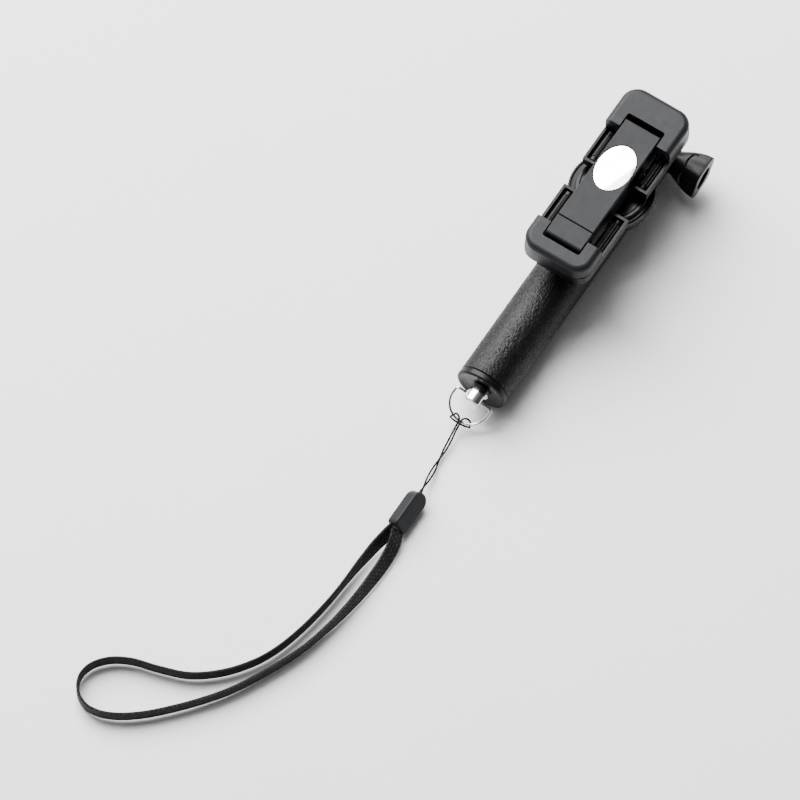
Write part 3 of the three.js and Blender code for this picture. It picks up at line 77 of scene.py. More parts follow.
def make_camera():
    data = bpy.data.cameras.new("camera")
    data.sensor_width = SENSOR_WIDTH
    data.lens = SENSOR_WIDTH * CAMERA_DISTANCE / FRAME_SPAN
    camera = bpy.data.objects.new("camera", data)
    bpy.context.scene.collection.objects.link(camera)
    back = Vector((
        math.sin(AZIMUTH) * math.cos(ELEVATION),
        -math.cos(AZIMUTH) * math.cos(ELEVATION),
        math.sin(ELEVATION),
    ))
    camera.location = TARGET + back * CAMERA_DISTANCE
    camera.rotation_euler = (-back).to_track_quat("-Z", "Y").to_euler()
    bpy.context.scene.camera = camera


make_camera()

# ------------------------------------------------------------- mesh workshop


def link(name, mesh):
    obj = bpy.data.objects.new(name, mesh)
    bpy.context.scene.collection.objects.link(obj)
    return obj


def make(name, points, faces):
    mesh = bpy.data.meshes.new(name)
    mesh.from_pydata([tuple(p) for p in points], [], faces)
    tool = bmesh.new()
    tool.from_mesh(mesh)
    bmesh.ops.recalc_face_normals(tool, faces=tool.faces)
    tool.to_mesh(mesh)
    tool.free()
    return link(name, mesh)


def loft(name, rings, loop=False, caps=True):
    """Joins rings of equally many points; loop joins the last ring to the first."""
    count = len(rings[0])
    points = [p for ring in rings for p in ring]
    faces = []
    last = len(rings) if loop else len(rings) - 1
    for i in range(last):
        a = i * count
        b = ((i + 1) % len(rings)) * count
        for j in range(count):
            k = (j + 1) % count
            faces.append((a + j, a + k, b + k, b + j))
    if caps and not loop:
        faces.append(tuple(range(count)))
        faces.append(tuple(range(len(points) - count, len(points))))
    return make(name, points, faces)


def eased_profile(profile, radius, steps=4):
    """Rounds the inner corners of an open line of (radius, station) points."""
    done = [profile[0]]
    for before, corner, after in zip(profile, profile[1:], profile[2:]):
        c = Vector(corner)
        to_before = Vector(before) - c
        to_after = Vector(after) - c
        reach = min(radius, to_before.length * 0.45, to_after.length * 0.45)
        start = c + to_before.normalized() * reach
        end = c + to_after.normalized() * reach
        for i in range(steps + 1):
            t = i / steps
            done.append(tuple(start * (1 - t) ** 2 + c * 2 * t * (1 - t) + end * t ** 2))
    done.append(profile[-1])
    return done


def turned(name, profile, axis, centre, ease=0.25, segments=96, hollow=False):
    """Turns (radius, station) points, in mm, about X, Y or Z through a centre in metres."""
    line = eased_profile(profile, ease) if ease else profile
    rings = []
    for radius, station in line:
        ring = []
        for i in range(segments):
            angle = 2 * math.pi * i / segments
            a = max(radius, 0.01) * math.cos(angle) * MM
            b = max(radius, 0.01) * math.sin(angle) * MM
            s = station * MM
            offset = {"x": (s, a, b), "y": (a, s, b), "z": (a, b, s)}[axis]
            ring.append(Vector(centre) + Vector(offset))
        rings.append(ring)
    return loft(name, rings, loop=hollow)


def evaluated(obj):
    """Applies an object's modifiers."""
    graph = bpy.context.evaluated_depsgraph_get()
    mesh = bpy.data.meshes.new_from_object(obj.evaluated_get(graph))
    obj.modifiers.clear()
    obj.data = mesh
    return obj


def cut(obj, cutters):
    for cutter in cutters:
        tool = obj.modifiers.new("cut", "BOOLEAN")
        tool.operation = "DIFFERENCE"
        tool.solver = "EXACT"
        tool.object = cutter
    evaluated(obj)
    for cutter in cutters:
        bpy.data.objects.remove(cutter)
    return obj


def eased(obj, width, segments=3, angle=35):
    """Rounds the edges that are sharper than an angle, and shades the rest smooth."""
    tool = obj.modifiers.new("ease", "BEVEL")
    tool.width = width * MM
    tool.segments = segments
    tool.limit_method = "ANGLE"
    tool.angle_limit = math.radians(angle)
    tool.use_clamp_overlap = True
    evaluated(obj)
    return smooth(obj, angle)


def smooth(obj, angle=35):
    mesh = obj.data
    mesh.polygons.foreach_set("use_smooth", [True] * len(mesh.polygons))
    mesh.set_sharp_from_angle(angle=math.radians(angle))
    normals = obj.modifiers.new("normals", "WEIGHTED_NORMAL")
    normals.keep_sharp = True
    return obj


def corner_box(name, low, high):
    (x0, y0, z0), (x1, y1, z1) = low, high
    base = [(x0, y0), (x1, y0), (x1, y1), (x0, y1)]
    return loft(name, [[(x, y, z) for x, y in base] for z in (z0, z1)])


def finished(obj, node, material):
    """obj stands for a CAD node: it takes the node's body, a material and a slot."""
    obj.data.materials.clear()
    obj.data.materials.append(material)
    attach(obj, NODES[node]["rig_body"])
    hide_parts(node)
    return obj


def refined(node, material, width=0.25, segments=3):
    """A copy of a CAD node with its flat faces whole and its edges rounded."""
    mesh = NODES[node].data.copy()
    tool = bmesh.new()
    tool.from_mesh(mesh)
    bmesh.ops.remove_doubles(tool, verts=tool.verts, dist=2e-6)
    bmesh.ops.dissolve_limit(
        tool, angle_limit=math.radians(1), verts=tool.verts, edges=tool.edges
    )
    tool.to_mesh(mesh)
    tool.free()
    obj = eased(link(node + "_fine", mesh), width, segments)
    return finished(obj, node, material)


# ------------------------------------------------------------------ materials


class Recipe:
    """A material whose patterns are laid out in the rest position's metres."""

    def __init__(self, name, colour, roughness, metallic=0.0, specular=0.5):
        self.material = bpy.data.materials.new(name)
        self.material.use_nodes = True
        self.tree = self.material.node_tree
        self.shader = self.tree.nodes["Principled BSDF"]
        self.place = self.tree.nodes.new("ShaderNodeTexCoord")
        self.shader.inputs["Base Color"].default_value = (*colour, 1)
        self.shader.inputs["Roughness"].default_value = roughness
        self.shader.inputs["Metallic"].default_value = metallic
        self.shader.inputs["Specular IOR Level"].default_value = specular
        self.colour = colour
        self.roughness = roughness
        self.bump = None

    def node(self, kind, **values):
        made = self.tree.nodes.new(kind)
        for key, value in values.items():
            setattr(made, key, value)
        return made

    def join(self, a, b):
        self.tree.links.new(a, b)

    def stretch(self, scale, output="Object"):
        mapping = self.node("ShaderNodeMapping")
        mapping.inputs["Scale"].default_value = scale
        self.join(self.place.outputs[output], mapping.inputs["Vector"])
        return mapping.outputs["Vector"]

    def noise(self, size, detail=3.0, scale=(1, 1, 1)):
        made = self.node("ShaderNodeTexNoise")
        made.inputs["Scale"].default_value = 1 / (size * MM)
        made.inputs["Detail"].default_value = detail
        self.join(self.stretch(scale), made.inputs["Vector"])
        return made.outputs["Fac"]

    def cells(self, size, feature="F1"):
        made = self.node("ShaderNodeTexVoronoi", feature=feature)
        made.inputs["Scale"].default_value = 1 / (size * MM)
        self.join(self.stretch((1, 1, 1)), made.inputs["Vector"])
        return made.outputs["Distance"]

    def ramp(self, source, low, high):
        made = self.node("ShaderNodeMapRange")
        made.inputs["From Min"].default_value = 0.25
        made.inputs["From Max"].default_value = 0.75
        made.inputs["To Min"].default_value = low
        made.inputs["To Max"].default_value = high
        self.join(source, made.inputs["Value"])
        return made.outputs["Result"]

    def vary_roughness(self, source, spread):
        low = max(self.roughness - spread, 0.01)
        self.join(self.ramp(source, low, self.roughness + spread), self.shader.inputs["Roughness"])
        return self

    def vary_colour(self, source, other):
        mix = self.node("ShaderNodeMix", data_type="RGBA")
        mix.inputs["A"].default_value = (*self.colour, 1)
        mix.inputs["B"].default_value = (*other, 1)
        self.join(self.ramp(source, 0.0, 1.0), mix.inputs["Factor"])
        self.join(mix.outputs["Result"], self.shader.inputs["Base Color"])
        return self

    def relief(self, source, depth, strength=0.5):
        made = self.node("ShaderNodeBump")
        made.inputs["Distance"].default_value = depth * MM
        made.inputs["Strength"].default_value = strength
        self.join(source, made.inputs["Height"])
        if self.bump:
            self.join(self.bump.outputs["Normal"], made.inputs["Normal"])
        self.bump = made
        self.join(made.outputs["Normal"], self.shader.inputs["Normal"])
        return self


def moulded(name, colour, lighter, roughness, specular=0.16, grain=0.22, depth=0.012):
    """Moulded plastic: a fine spark grain, soft blotches of gloss and faint handling marks."""
    r = Recipe(name, colour, roughness, specular=specular)
    r.vary_colour(r.noise(9, 4), lighter)
    r.vary_roughness(r.noise(2.4, 5), 0.05)
    r.relief(r.noise(grain, 2), depth, 0.45)
    r.relief(r.noise(14, 2), 0.05, 0.25)
    return r.material


def metal(name, colour, darker, roughness, along=(1, 1, 1)):
    """Metal with fine drawn lines along one axis and cloudy wear."""
    r = Recipe(name, colour, roughness, metallic=1.0)
    r.vary_colour(r.noise(3.5, 5), darker)
    r.vary_roughness(r.noise(0.5, 4, along), 0.06)
    r.relief(r.noise(0.3, 3, along), 0.006, 0.3)
    return r.material


def grip_skin():
    r = Recipe("grip_skin", (0.0022, 0.0022, 0.0026), 0.42, specular=0.2)
    r.vary_colour(r.cells(0.9), (0.0045, 0.0046, 0.0054))
    r.vary_roughness(r.noise(1.1, 4), 0.12)
    r.relief(r.cells(0.75), 0.12, 0.55)
    r.relief(r.noise(0.35, 4), 0.05, 0.5)
    return r.material


def strip_rubber():
    r = Recipe("strip_rubber", (0.0015, 0.0015, 0.0017), 0.42, specular=0.15)
    r.vary_colour(r.noise(2.5, 4), (0.003, 0.003, 0.0033))
    r.vary_roughness(r.noise(0.8, 4), 0.08)
    r.relief(r.noise(0.25, 3), 0.02, 0.4)
    return r.material


def woven(name, rows, dash, width, dash_share, pale):
    """Woven yarn: rows of short pale floats on black, laid out along the piece."""
    r = Recipe(name, (0.002, 0.002, 0.0022), 0.7, specular=0.2)
    brick = r.node("ShaderNodeTexBrick", offset=0.5)
    brick.inputs["Scale"].default_value = 1.0
    brick.inputs["Brick Width"].default_value = dash
    brick.inputs["Row Height"].default_value = width / rows
    brick.inputs["Mortar Size"].default_value = width / rows * dash_share
    brick.inputs["Mortar Smooth"].default_value = 0.6
    brick.inputs["Color1"].default_value = (pale, pale, pale * 1.08, 1)
    brick.inputs["Color2"].default_value = (pale * 0.3, pale * 0.3, pale * 0.33, 1)
    brick.inputs["Mortar"].default_value = (0.0015, 0.0015, 0.0017, 1)
    r.join(r.stretch((1, 1, 1), "UV"), brick.inputs["Vector"])
    r.join(brick.outputs["Color"], r.shader.inputs["Base Color"])
    r.vary_roughness(r.noise(0.6, 3), 0.1)
    r.relief(r.noise(0.12, 3), 0.03, 0.5)
    r.shader.inputs["Sheen Weight"].default_value = 0.02
    r.shader.inputs["Sheen Roughness"].default_value = 0.4
    return r.material


SATIN = moulded("satin_plastic", (0.0085, 0.009, 0.0105), (0.011, 0.0115, 0.0135), 0.42)
CLAW = moulded("claw_plastic", (0.0105, 0.011, 0.013), (0.0135, 0.014, 0.0165), 0.4)
BLACK = moulded("black_plastic", (0.0022, 0.0022, 0.0026), (0.0036, 0.0036, 0.0042), 0.34)
GLOSS = moulded("gloss_black", (0.0014, 0.0014, 0.0016), (0.0024, 0.0024, 0.0027), 0.24, depth=0.004)
KNOB = moulded("knob_plastic", (0.0045, 0.0047, 0.0055), (0.0065, 0.0068, 0.008), 0.36)
GRIP = grip_skin()
STRIP = strip_rubber()
CHROME = metal("bright_metal", (0.78, 0.79, 0.81), (0.68, 0.69, 0.71), 0.14)
STEEL = metal("plain_steel", (0.55, 0.55, 0.56), (0.42, 0.42, 0.43), 0.3)
TUBE = metal("tube_metal", (0.66, 0.67, 0.69), (0.58, 0.59, 0.61), 0.24, along=(4, 0.1, 4))
BRASS = metal("insert_brass", (0.7, 0.5, 0.22), (0.55, 0.38, 0.16), 0.28)
MIRROR = metal("mirror_face", (0.94, 0.945, 0.95), (0.9, 0.905, 0.91), 0.07)

# ---------------------------------------------------------------- wrist strap

SLIDER_LOW, SLIDER_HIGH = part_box("strap_slider")
CORD_RADIUS = 0.4
TAPE_WIDTH = 6.0
TAPE_THICKNESS = 1.2
ROW_SHIFT = 11.85  # from the part's own Y to the frame's


def smooth_route(points, per_span):
    """A centripetal Catmull-Rom curve through points, in mm."""
    p = [np.array(q, float) for q in points]
    p = [2 * p[0] - p[1], *p, 2 * p[-1] - p[-2]]
    route = []
    for a, b, c, d in zip(p, p[1:], p[2:], p[3:]):
        t = np.cumsum([0, *[np.linalg.norm(v - u) ** 0.5 for u, v in ((a, b), (b, c), (c, d))]])
        for s in np.linspace(t[1], t[2], per_span, endpoint=False):
            ab = (t[1] - s) / (t[1] - t[0]) * a + (s - t[0]) / (t[1] - t[0]) * b
            bc = (t[2] - s) / (t[2] - t[1]) * b + (s - t[1]) / (t[2] - t[1]) * c
            cd = (t[3] - s) / (t[3] - t[2]) * c + (s - t[2]) / (t[3] - t[2]) * d
            abc = (t[2] - s) / (t[2] - t[0]) * ab + (s - t[0]) / (t[2] - t[0]) * bc
            bcd = (t[3] - s) / (t[3] - t[1]) * bc + (s - t[1]) / (t[3] - t[1]) * cd
            route.append((t[2] - s) / (t[2] - t[1]) * abc + (s - t[1]) / (t[2] - t[1]) * bcd)
    route.append(p[-2])
    return np.array(route)


def length_along(route):
    return np.concatenate([[0], np.cumsum(np.linalg.norm(np.diff(route, axis=0), axis=1))])


def strand(name, route, section, sides_up):
    """Sweeps section(along, i) -> (across, up) points; u runs round it and v along, in metres."""
    along = length_along(route)
    tangents = np.gradient(route, axis=0)
    tangents /= np.linalg.norm(tangents, axis=1)[:, None]
    rings = []
    for i, (centre, tangent) in enumerate(zip(route, tangents)):
        up = sides_up(i, tangent)
        up = up - tangent * (up @ tangent)
        up /= np.linalg.norm(up)
        side = np.cross(tangent, up)
        rings.append([
            tuple((centre + side * a + up * b) * MM) for a, b in section(along[i])
        ])
    obj = loft(name, rings)
    count = len(rings[0])
    outline = np.array(section(0.0))
    closed = np.vstack([outline, outline[:1]])
    round_it = length_along(closed)
    layer = obj.data.uv_layers.new(name="UVMap")
    for polygon in obj.data.polygons:
        columns = [obj.data.loops[k].vertex_index % count for k in polygon.loop_indices]
        wraps = max(columns) - min(columns) > 1
        for k, column in zip(polygon.loop_indices, columns):
            row = obj.data.loops[k].vertex_index // count
            u = round_it[-1] if wraps and column == 0 else round_it[column]
            layer.data[k].uv = (along[row] * MM, u * MM)
    return smooth(obj, 60)


def carried(route):
    """Directions that turn with a route and never twist about it."""
    tangents = np.gradient(route, axis=0)
    tangents /= np.linalg.norm(tangents, axis=1)[:, None]
    up = np.array([0.0, 0.0, 1.0])
    ups = []
    for tangent in tangents:
        up = up - tangent * (up @ tangent)
        up /= np.linalg.norm(up)
        ups.append(up.copy())
    return ups


CORD_ROUTE = [
    (3.1, -172.8, 4.9), (2.1, -169.4, 4.1), (0.95, -165.5, 2.5), (0.2, -160.5, 1.4),
    (0.3, -156, 1.55), (0.4, -151, 1.5), (0.05, -146.4, 2.3), (-0.45, -142.5, 3.4),
    (-0.6, -139.8, 4.25), (-0.65, -138.55, 5.1), (-0.3, -137.7, 5.4), (0.6, -136.8, 5.25),
    (1.6, -136.4, 4.4), (2.3, -136.5, 3.3), (2.7, -137.2, 2.6), (3.0, -138, 2.75),
    (3.3, -138.7, 3.55), (2.8, -139.2, 4.45), (1.3, -139.8, 5), (-1.1, -140.05, 5.35),
    (-3.6, -139.95, 5.6), (-5, -139.5, 5.3), (-5.2, -138.75, 4.5), (-4.75, -137.85, 4.05),
    (-4.4, -137.25, 4.85), (-3.9, -137.25, 5.75), (-3.1, -137.35, 6.05), (-2.2, -137.8, 5.8),
    (-1.6, -138.55, 5.3), (-1.5, -139.8, 4.45), (-1.35, -142.5, 3.4), (-1.05, -146.4, 2.2),
    (-0.7, -151, 1), (0.3, -156, 0.55), (1.5, -160.5, 1.2), (2.1, -165.5, 2.3),
    (2.1, -169.4, 3.1), (2.2, -172.8, 4.3),
]
TAPE_ROUTE = [
    (2.1, -191.2), (1.2, -195.5), (0, -201.5), (-1, -211.3), (-1.5, -219.8), (-2, -228),
    (-3, -237), (-5, -248), (-8, -258.5), (-12, -267), (-19.5, -277), (-30, -285.5),
    (-42, -290), (-52.5, -293), (-60, -297.5), (-64.5, -303.5), (-65.2, -309.5),
    (-62.3, -315), (-57, -318), (-51, -317.8), (-44, -314.8), (-36, -308.8), (-29, -301.8),
    (-22, -293.8), (-14, -283), (-7.5, -271), (-0.5, -254.8), (3.3, -240.8), (5.4, -228.8),
    (6.4, -218), (6.6, -205), (5.6, -196), (3.8, -191.2),
]


def build_cord():
    route = smooth_route([(x, y + ROW_SHIFT, z) for x, y, z in CORD_ROUTE], 12)
    ups = carried(route)
    sides = 20

    def section(along):
        twist = along / 2.2 * 2 * math.pi
        points = []
        for i in range(sides):
            angle = 2 * math.pi * i / sides
            radius = CORD_RADIUS * (1 - 0.05 * (1 + math.cos(4 * angle + twist)))
            points.append((radius * math.cos(angle), radius * math.sin(angle)))
        return points

    cord = strand("strap_cord_fine", route, section, lambda i, tangent: ups[i])
    finished(cord, "strap_cord", CORD_YARN)


def fading(distance, reach):
    """1 at no distance, falling smoothly to 0 at reach."""
    near = max(0.0, 1 - distance / reach)
    return near * near * (3 - 2 * near)


def build_tape():
    centre_z = TAPE_WIDTH / 2 + 0.1
    flat = [(x, y + ROW_SHIFT, centre_z) for x, y in TAPE_ROUTE]
    route = smooth_route(flat, 22)
    along = length_along(route)
    length = along[-1]
    half_width = TAPE_WIDTH / 2
    half_thick = TAPE_THICKNESS / 2
    slider_z = (SLIDER_LOW.z + SLIDER_HIGH.z) / 2 / MM
    leans = []
    for i, distance in enumerate(along):
        first = fading(distance, 34.0) * math.radians(36)
        last = fading(length - distance, 62.0) * math.radians(50)
        leans.append(first + last)
        stand = half_width * math.cos(leans[i]) + half_thick * math.sin(leans[i]) + 0.1
        lift = fading(min(distance, length - distance), 15.0)
        route[i][2] = stand + (slider_z - stand) * lift
    ribs = 5

    def outline():
        points = []
        per_face = 30
        for face in (1, -1):
            for i in range(per_face):
                t = -1 + 2 * (i + 0.5) / per_face
                edge = max(0.0, abs(t) - 0.86) / 0.14
                thick = half_thick * math.sqrt(max(0.0, 1 - 0.85 * edge * edge))
                points.append((face * thick, face * t * half_width, t))
        return points

    base = outline()

    def section(distance):
        points = []
        for across, up, t in base:
            row = t * ribs / 2 * 2 * math.pi
            float_lift = 0.035 * math.cos(row) * math.cos(2 * math.pi * distance / 1.9)
            rib = 0.03 * math.cos(row)
            points.append((across * (0.93 + rib + float_lift), up))
        return points

    def lean(i, tangent):
        return np.array([-math.sin(leans[i]), 0.0, math.cos(leans[i])])

    tape = strand("strap_webbing_fine", route, section, lean)
    finished(tape, "strap_webbing", TAPE_YARN)


CORD_YARN = woven("cord_yarn", 4, 0.9 * MM, 2 * math.pi * CORD_RADIUS * MM, 0.3, 0.004)
TAPE_YARN = woven("tape_yarn", 11, 1.9 * MM, 2 * (TAPE_WIDTH + TAPE_THICKNESS) * MM, 0.34, 0.03)

refined("strap_slider", SATIN, 0.3, 3)
build_cord()
build_tape()

# --------------------------------------------------------------------- handle

SLEEVE_LOW, SLEEVE_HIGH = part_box("grip_sleeve")
CAP_LOW, CAP_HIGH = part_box("end_cap")
AXIS_Z = (SLEEVE_LOW.z + SLEEVE_HIGH.z) / 2
GRIP_RADIUS = (SLEEVE_HIGH.z - SLEEVE_LOW.z) / 2 / MM
AXIS = (0, 0, AXIS_Z)


def grain(x, y, z):
    """Depth of the grip's leather-like grain at a point in mm, from 0 to 1."""
    cell = 0.95
    point = Vector((x, y, z)) / cell
    wander = noise.noise_vector(point * 0.6) * 0.55
    distances, _ = noise.voronoi(point + wander, distance_metric="DISTANCE", exponent=2.5)
    crease = 1 - min(1.0, (distances[1] - distances[0]) / 0.42)
    lump = noise.noise(point * 1.9) * 0.35
    return max(0.0, min(1.0, crease ** 1.6 + lump))


def build_grip():
    around = 260
    low = SLEEVE_LOW.y / MM
    high = SLEEVE_HIGH.y / MM
    stations = 380
    relief = 0.24
    end_roll = 0.5
    rings = []
    for i in range(stations + 1):
        y = low + (high - low) * i / stations
        edge = min(y - low, high - y)
        roll = max(0.0, 1 - edge / end_roll)
        ring = []
        for j in range(around):
            angle = 2 * math.pi * j / around
            c, s = math.cos(angle), math.sin(angle)
            depth = grain(GRIP_RADIUS * c, y, GRIP_RADIUS * s) * relief * (1 - roll)
            radius = GRIP_RADIUS - depth - 0.35 * roll * roll
            ring.append((radius * c * MM, y * MM, AXIS_Z + radius * s * MM))
        rings.append(ring)
    inner = []
    for y in (high, low):
        radius = GRIP_RADIUS - 1.15
        inner.append([
            (
                radius * math.cos(2 * math.pi * j / around) * MM,
                y * MM,
                AXIS_Z + radius * math.sin(2 * math.pi * j / around) * MM,
            )
            for j in range(around)
        ])
    sleeve = loft("grip_sleeve_fine", rings + inner, loop=True)
    finished(smooth(sleeve, 60), "grip_sleeve", GRIP)


def build_cap():
    face = CAP_LOW.y / MM
    back = CAP_HIGH.y / MM
    rim = face + 2.6
    profile = [
        (2.2, face + 1.1), (4.2, face + 1.05), (6.6, face + 0.85), (8.4, face + 0.5),
        (9.6, face), (10.5, face), (GRIP_RADIUS, face + 0.5), (GRIP_RADIUS, rim),
        (8.5, rim), (8.5, back), (2.2, back), (2.2, face + 1.1),
    ]
    cap = turned("end_cap_fine", profile, "y", AXIS, ease=0.22, hollow=True)
    finished(smooth(cap, 50), "end_cap", BLACK)


def build_collar():
    low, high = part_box("top_collar")
    inner = (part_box("pole_section_1")[1].x / MM) + 0.3
    outer = high.x / MM
    a = low.y / MM
    b = high.y / MM
    profile = [
        (inner, a), (outer, a), (outer, a + 1.0), (outer - 0.8, b), (inner, b), (inner, a),
    ]
    collar = turned("top_collar_fine", profile, "y", AXIS, ease=0.3, hollow=True)
    finished(smooth(collar, 50), "top_collar", BLACK)


def build_tubes():
    names = ["handle_tube"] + [f"pole_section_{i}" for i in range(1, 6)]
    for node in names:
        low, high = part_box(node)
        outer = high.x / MM
        wall = 1.0 if node == "handle_tube" else 0.5
        a = low.y / MM
        b = high.y / MM
        profile = [(outer - wall, a), (outer, a), (outer, b), (outer - wall, b), (outer - wall, a)]
        tube = turned(node + "_fine", profile, "y", AXIS, ease=0.12, segments=72, hollow=True)
        finished(smooth(tube, 50), node, TUBE)
    for i in range(1, 6):
        refined(f"pole_bushing_{i}", BLACK, 0.1, 2)


build_grip()
build_cap()
build_collar()
build_tubes()

# ------------------------------------------------------------- post and ring

POST_TURN = math.radians(15)
RING_DROOP = math.radians(40)
RING_BAR = Vector((0, -118.15, 11.0))
RING_BAR_HALF = 8.2
RING_DEPTH = 11.2
RING_WIRE = 0.55


def build_post():
    low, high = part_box("strap_post")
    tip = low.y / MM
    shaft_top = high.y / MM
    shoulder = CAP_LOW.y / MM + 0.7
    radius = 4.1
    profile = [
        (0, tip), (radius, tip), (radius, shoulder), (2.0, shoulder), (2.0, shaft_top),
        (0, shaft_top),
    ]
    post = turned("strap_post_fine", profile, "y", AXIS, ease=0.35)
    side = Vector((math.cos(POST_TURN), 0, -math.sin(POST_TURN)))
    across = Vector((math.sin(POST_TURN), 0, math.cos(POST_TURN)))
    flat_depth = 1.3
    base = Vector((0, 0, AXIS_Z / MM))
    corners = []
    for y in (tip - 1, shoulder - 1.9):
        for a, b in ((radius - flat_depth, -6), (radius + 2, -6), (radius + 2, 6), (radius - flat_depth, 6)):
            corners.append((base + side * a + across * b + Vector((0, y, 0))) * MM)
    flat = loft("flat_cut", [corners[:4], corners[4:]])
    hole = turned(
        "hole_cut", [(0.68, -6), (0.68, 6)], "x", (0, RING_BAR.y * MM, AXIS_Z), ease=0, segments=24
    )
    spin = hole.data
    for vertex in spin.vertices:
        v = vertex.co - Vector((0, RING_BAR.y * MM, AXIS_Z))
        vertex.co = Vector((0, RING_BAR.y * MM, AXIS_Z)) + side * v.x + across * v.z + Vector((0, v.y, 0))
    cut(post, [flat, hole])
    eased(post, 0.12, 3)
    finished(post, "strap_post", CHROME)
    refined("post_clip", STEEL, 0.08, 2)


def build_ring():
    along = Vector((math.cos(POST_TURN), 0, -math.sin(POST_TURN)))
    down = Vector((
        -math.sin(RING_DROOP) * math.sin(POST_TURN),
        -math.cos(RING_DROOP),
        -math.sin(RING_DROOP) * math.cos(POST_TURN),
    ))
    corner = 1.3
    straight = RING_DEPTH - RING_BAR_HALF
    line = []
    for i in range(13):
        line.append((-RING_BAR_HALF + corner + (2 * (RING_BAR_HALF - corner)) * i / 12, 0.0))
    for i in range(1, 9):
        angle = math.pi / 2 * i / 8
        line.append((
            RING_BAR_HALF - corner + corner * math.sin(angle), corner * (1 - math.cos(angle))
        ))
    for i in range(65):
        angle = math.pi * i / 64
        line.append((
            RING_BAR_HALF * math.cos(angle), straight + RING_BAR_HALF * math.sin(angle)
        ))
    for i in range(8):
        angle = math.pi / 2 * (1 - i / 8)
        line.append((
            -RING_BAR_HALF + corner - corner * math.sin(angle), corner * (1 - math.cos(angle))
        ))
    points = [RING_BAR + along * a + down * b for a, b in line]
    normal = along.cross(down).normalized()
    rings = []
    for i, point in enumerate(points):
        tangent = (points[(i + 1) % len(points)] - points[i - 1]).normalized()
        side = tangent.cross(normal).normalized()
        rings.append([
            (point + side * RING_WIRE * math.cos(t) + normal * RING_WIRE * math.sin(t)) * MM
            for t in [2 * math.pi * k / 20 for k in range(20)]
        ])
    ring = loft("d_ring_fine", rings, loop=True)
    finished(smooth(ring, 60), "d_ring", CHROME)


build_post()
build_ring()

# ----------------------------------------------------------- head and swivel

refined("head_fork", BLACK, 0.35)
refined("hinge_arm", BLACK, 0.3)


def build_knob():
    low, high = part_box("thumb_knob")
    screw_low, screw_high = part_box("hinge_screw")
    centre = Vector((0, (screw_low.y + screw_high.y) / 2, (screw_low.z + screw_high.z) / 2))
    start = low.x / MM
    length = (high.x - low.x) / MM
    turn = math.radians(33)
    neck_radius, wing_radius, ridge_radius = 5.2, 9.15, 6.7
    neck_share = 2.2 / length
    around = 144
    stations = 60

    def outline(share):
        t = min(1.0, max(0.0, (share - neck_share) / (1 - neck_share)))
        flare = math.sin(t * math.pi / 2)
        ring = []
        for j in range(around):
            angle = 2 * math.pi * j / around
            wing = abs(math.cos(angle)) ** 6
            ridge = abs(math.sin(angle)) ** 6
            star = wing_radius * wing + ridge_radius * ridge
            star += (ridge_radius - 0.8) * (1 - wing - ridge)
            radius = neck_radius + (star - neck_radius) * flare
            across = (angle % (math.pi / 2)) / (math.pi / 2) * 2 - 1
            along = (t - 0.62) / 0.34
            inside = 1 - max(abs(across) / 0.74, math.hypot(across * 0.8, min(along, 0) * 1.15),
                             along)
            dish = max(0.0, min(1.0, inside / 0.12))
            radius -= 0.8 * dish * dish * (3 - 2 * dish) * min(1.0, t * 3)
            ring.append((radius, angle))
        return ring

    def placed(station, pairs):
        x = (start + station) * MM
        return [
            (
                x,
                centre.y + radius * math.cos(angle + turn) * MM,
                centre.z + radius * math.sin(angle + turn) * MM,
            )
            for radius, angle in pairs
        ]

    def shrunk(pairs, by):
        return [(radius - by, angle) for radius, angle in pairs]

    ease = 0.35
    rings = [placed(0, shrunk(outline(0), ease))]
    for i in range(stations + 1):
        share = ease / length + (1 - 2 * ease / length) * i / stations
        rings.append(placed(share * length, outline(share)))
    end = outline(1)
    for i in range(1, 6):
        angle = math.pi / 2 * i / 5
        rings.append(placed(
            length - ease + ease * math.sin(angle), shrunk(end, ease * (1 - math.cos(angle)))
        ))
    pocket = []
    for j in range(around):
        angle = 2 * math.pi * j / around
        half_long, half_wide = 4.9, 2.9
        pocket.append((
            1 / math.hypot(math.cos(angle) / half_long, math.sin(angle) / half_wide), angle
        ))
    rings.append(placed(length, [(r + 0.25, a) for r, a in pocket]))
    rings.append(placed(length - 0.25, pocket))
    rings.append(placed(length - 4.0, shrunk(pocket, 0.25)))
    knob = loft("thumb_knob_fine", rings)
    finished(smooth(knob, 40), "thumb_knob", KNOB)
    refined("knob_insert", BRASS, 0.12, 2)


def build_hinge_hardware():
    low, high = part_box("hinge_screw")
    centre = (0, (low.y + high.y) / 2, (low.z + high.z) / 2)
    a = low.x / MM
    tip = high.x / MM
    profile = [(0, a + 1.9), (1.9, a + 1.9), (2.2, a), (4.2, a), (4.2, a + 2.8), (2.5, a + 2.8),
               (2.5, tip), (0, tip)]
    screw = turned("hinge_screw_fine", profile, "x", centre, ease=0.3)
    finished(smooth(screw, 45), "hinge_screw", CHROME)
    for side in ("left", "right"):
        node = f"hinge_washer_{side}"
        low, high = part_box(node)
        a = low.x / MM
        b = high.x / MM
        profile = [(2.6, a), (5.0, a), (5.0, b), (2.6, b), (2.6, a)]
        washer = turned(node + "_fine", profile, "x", centre, ease=0.15, hollow=True)
        finished(smooth(washer, 45), node, CHROME)


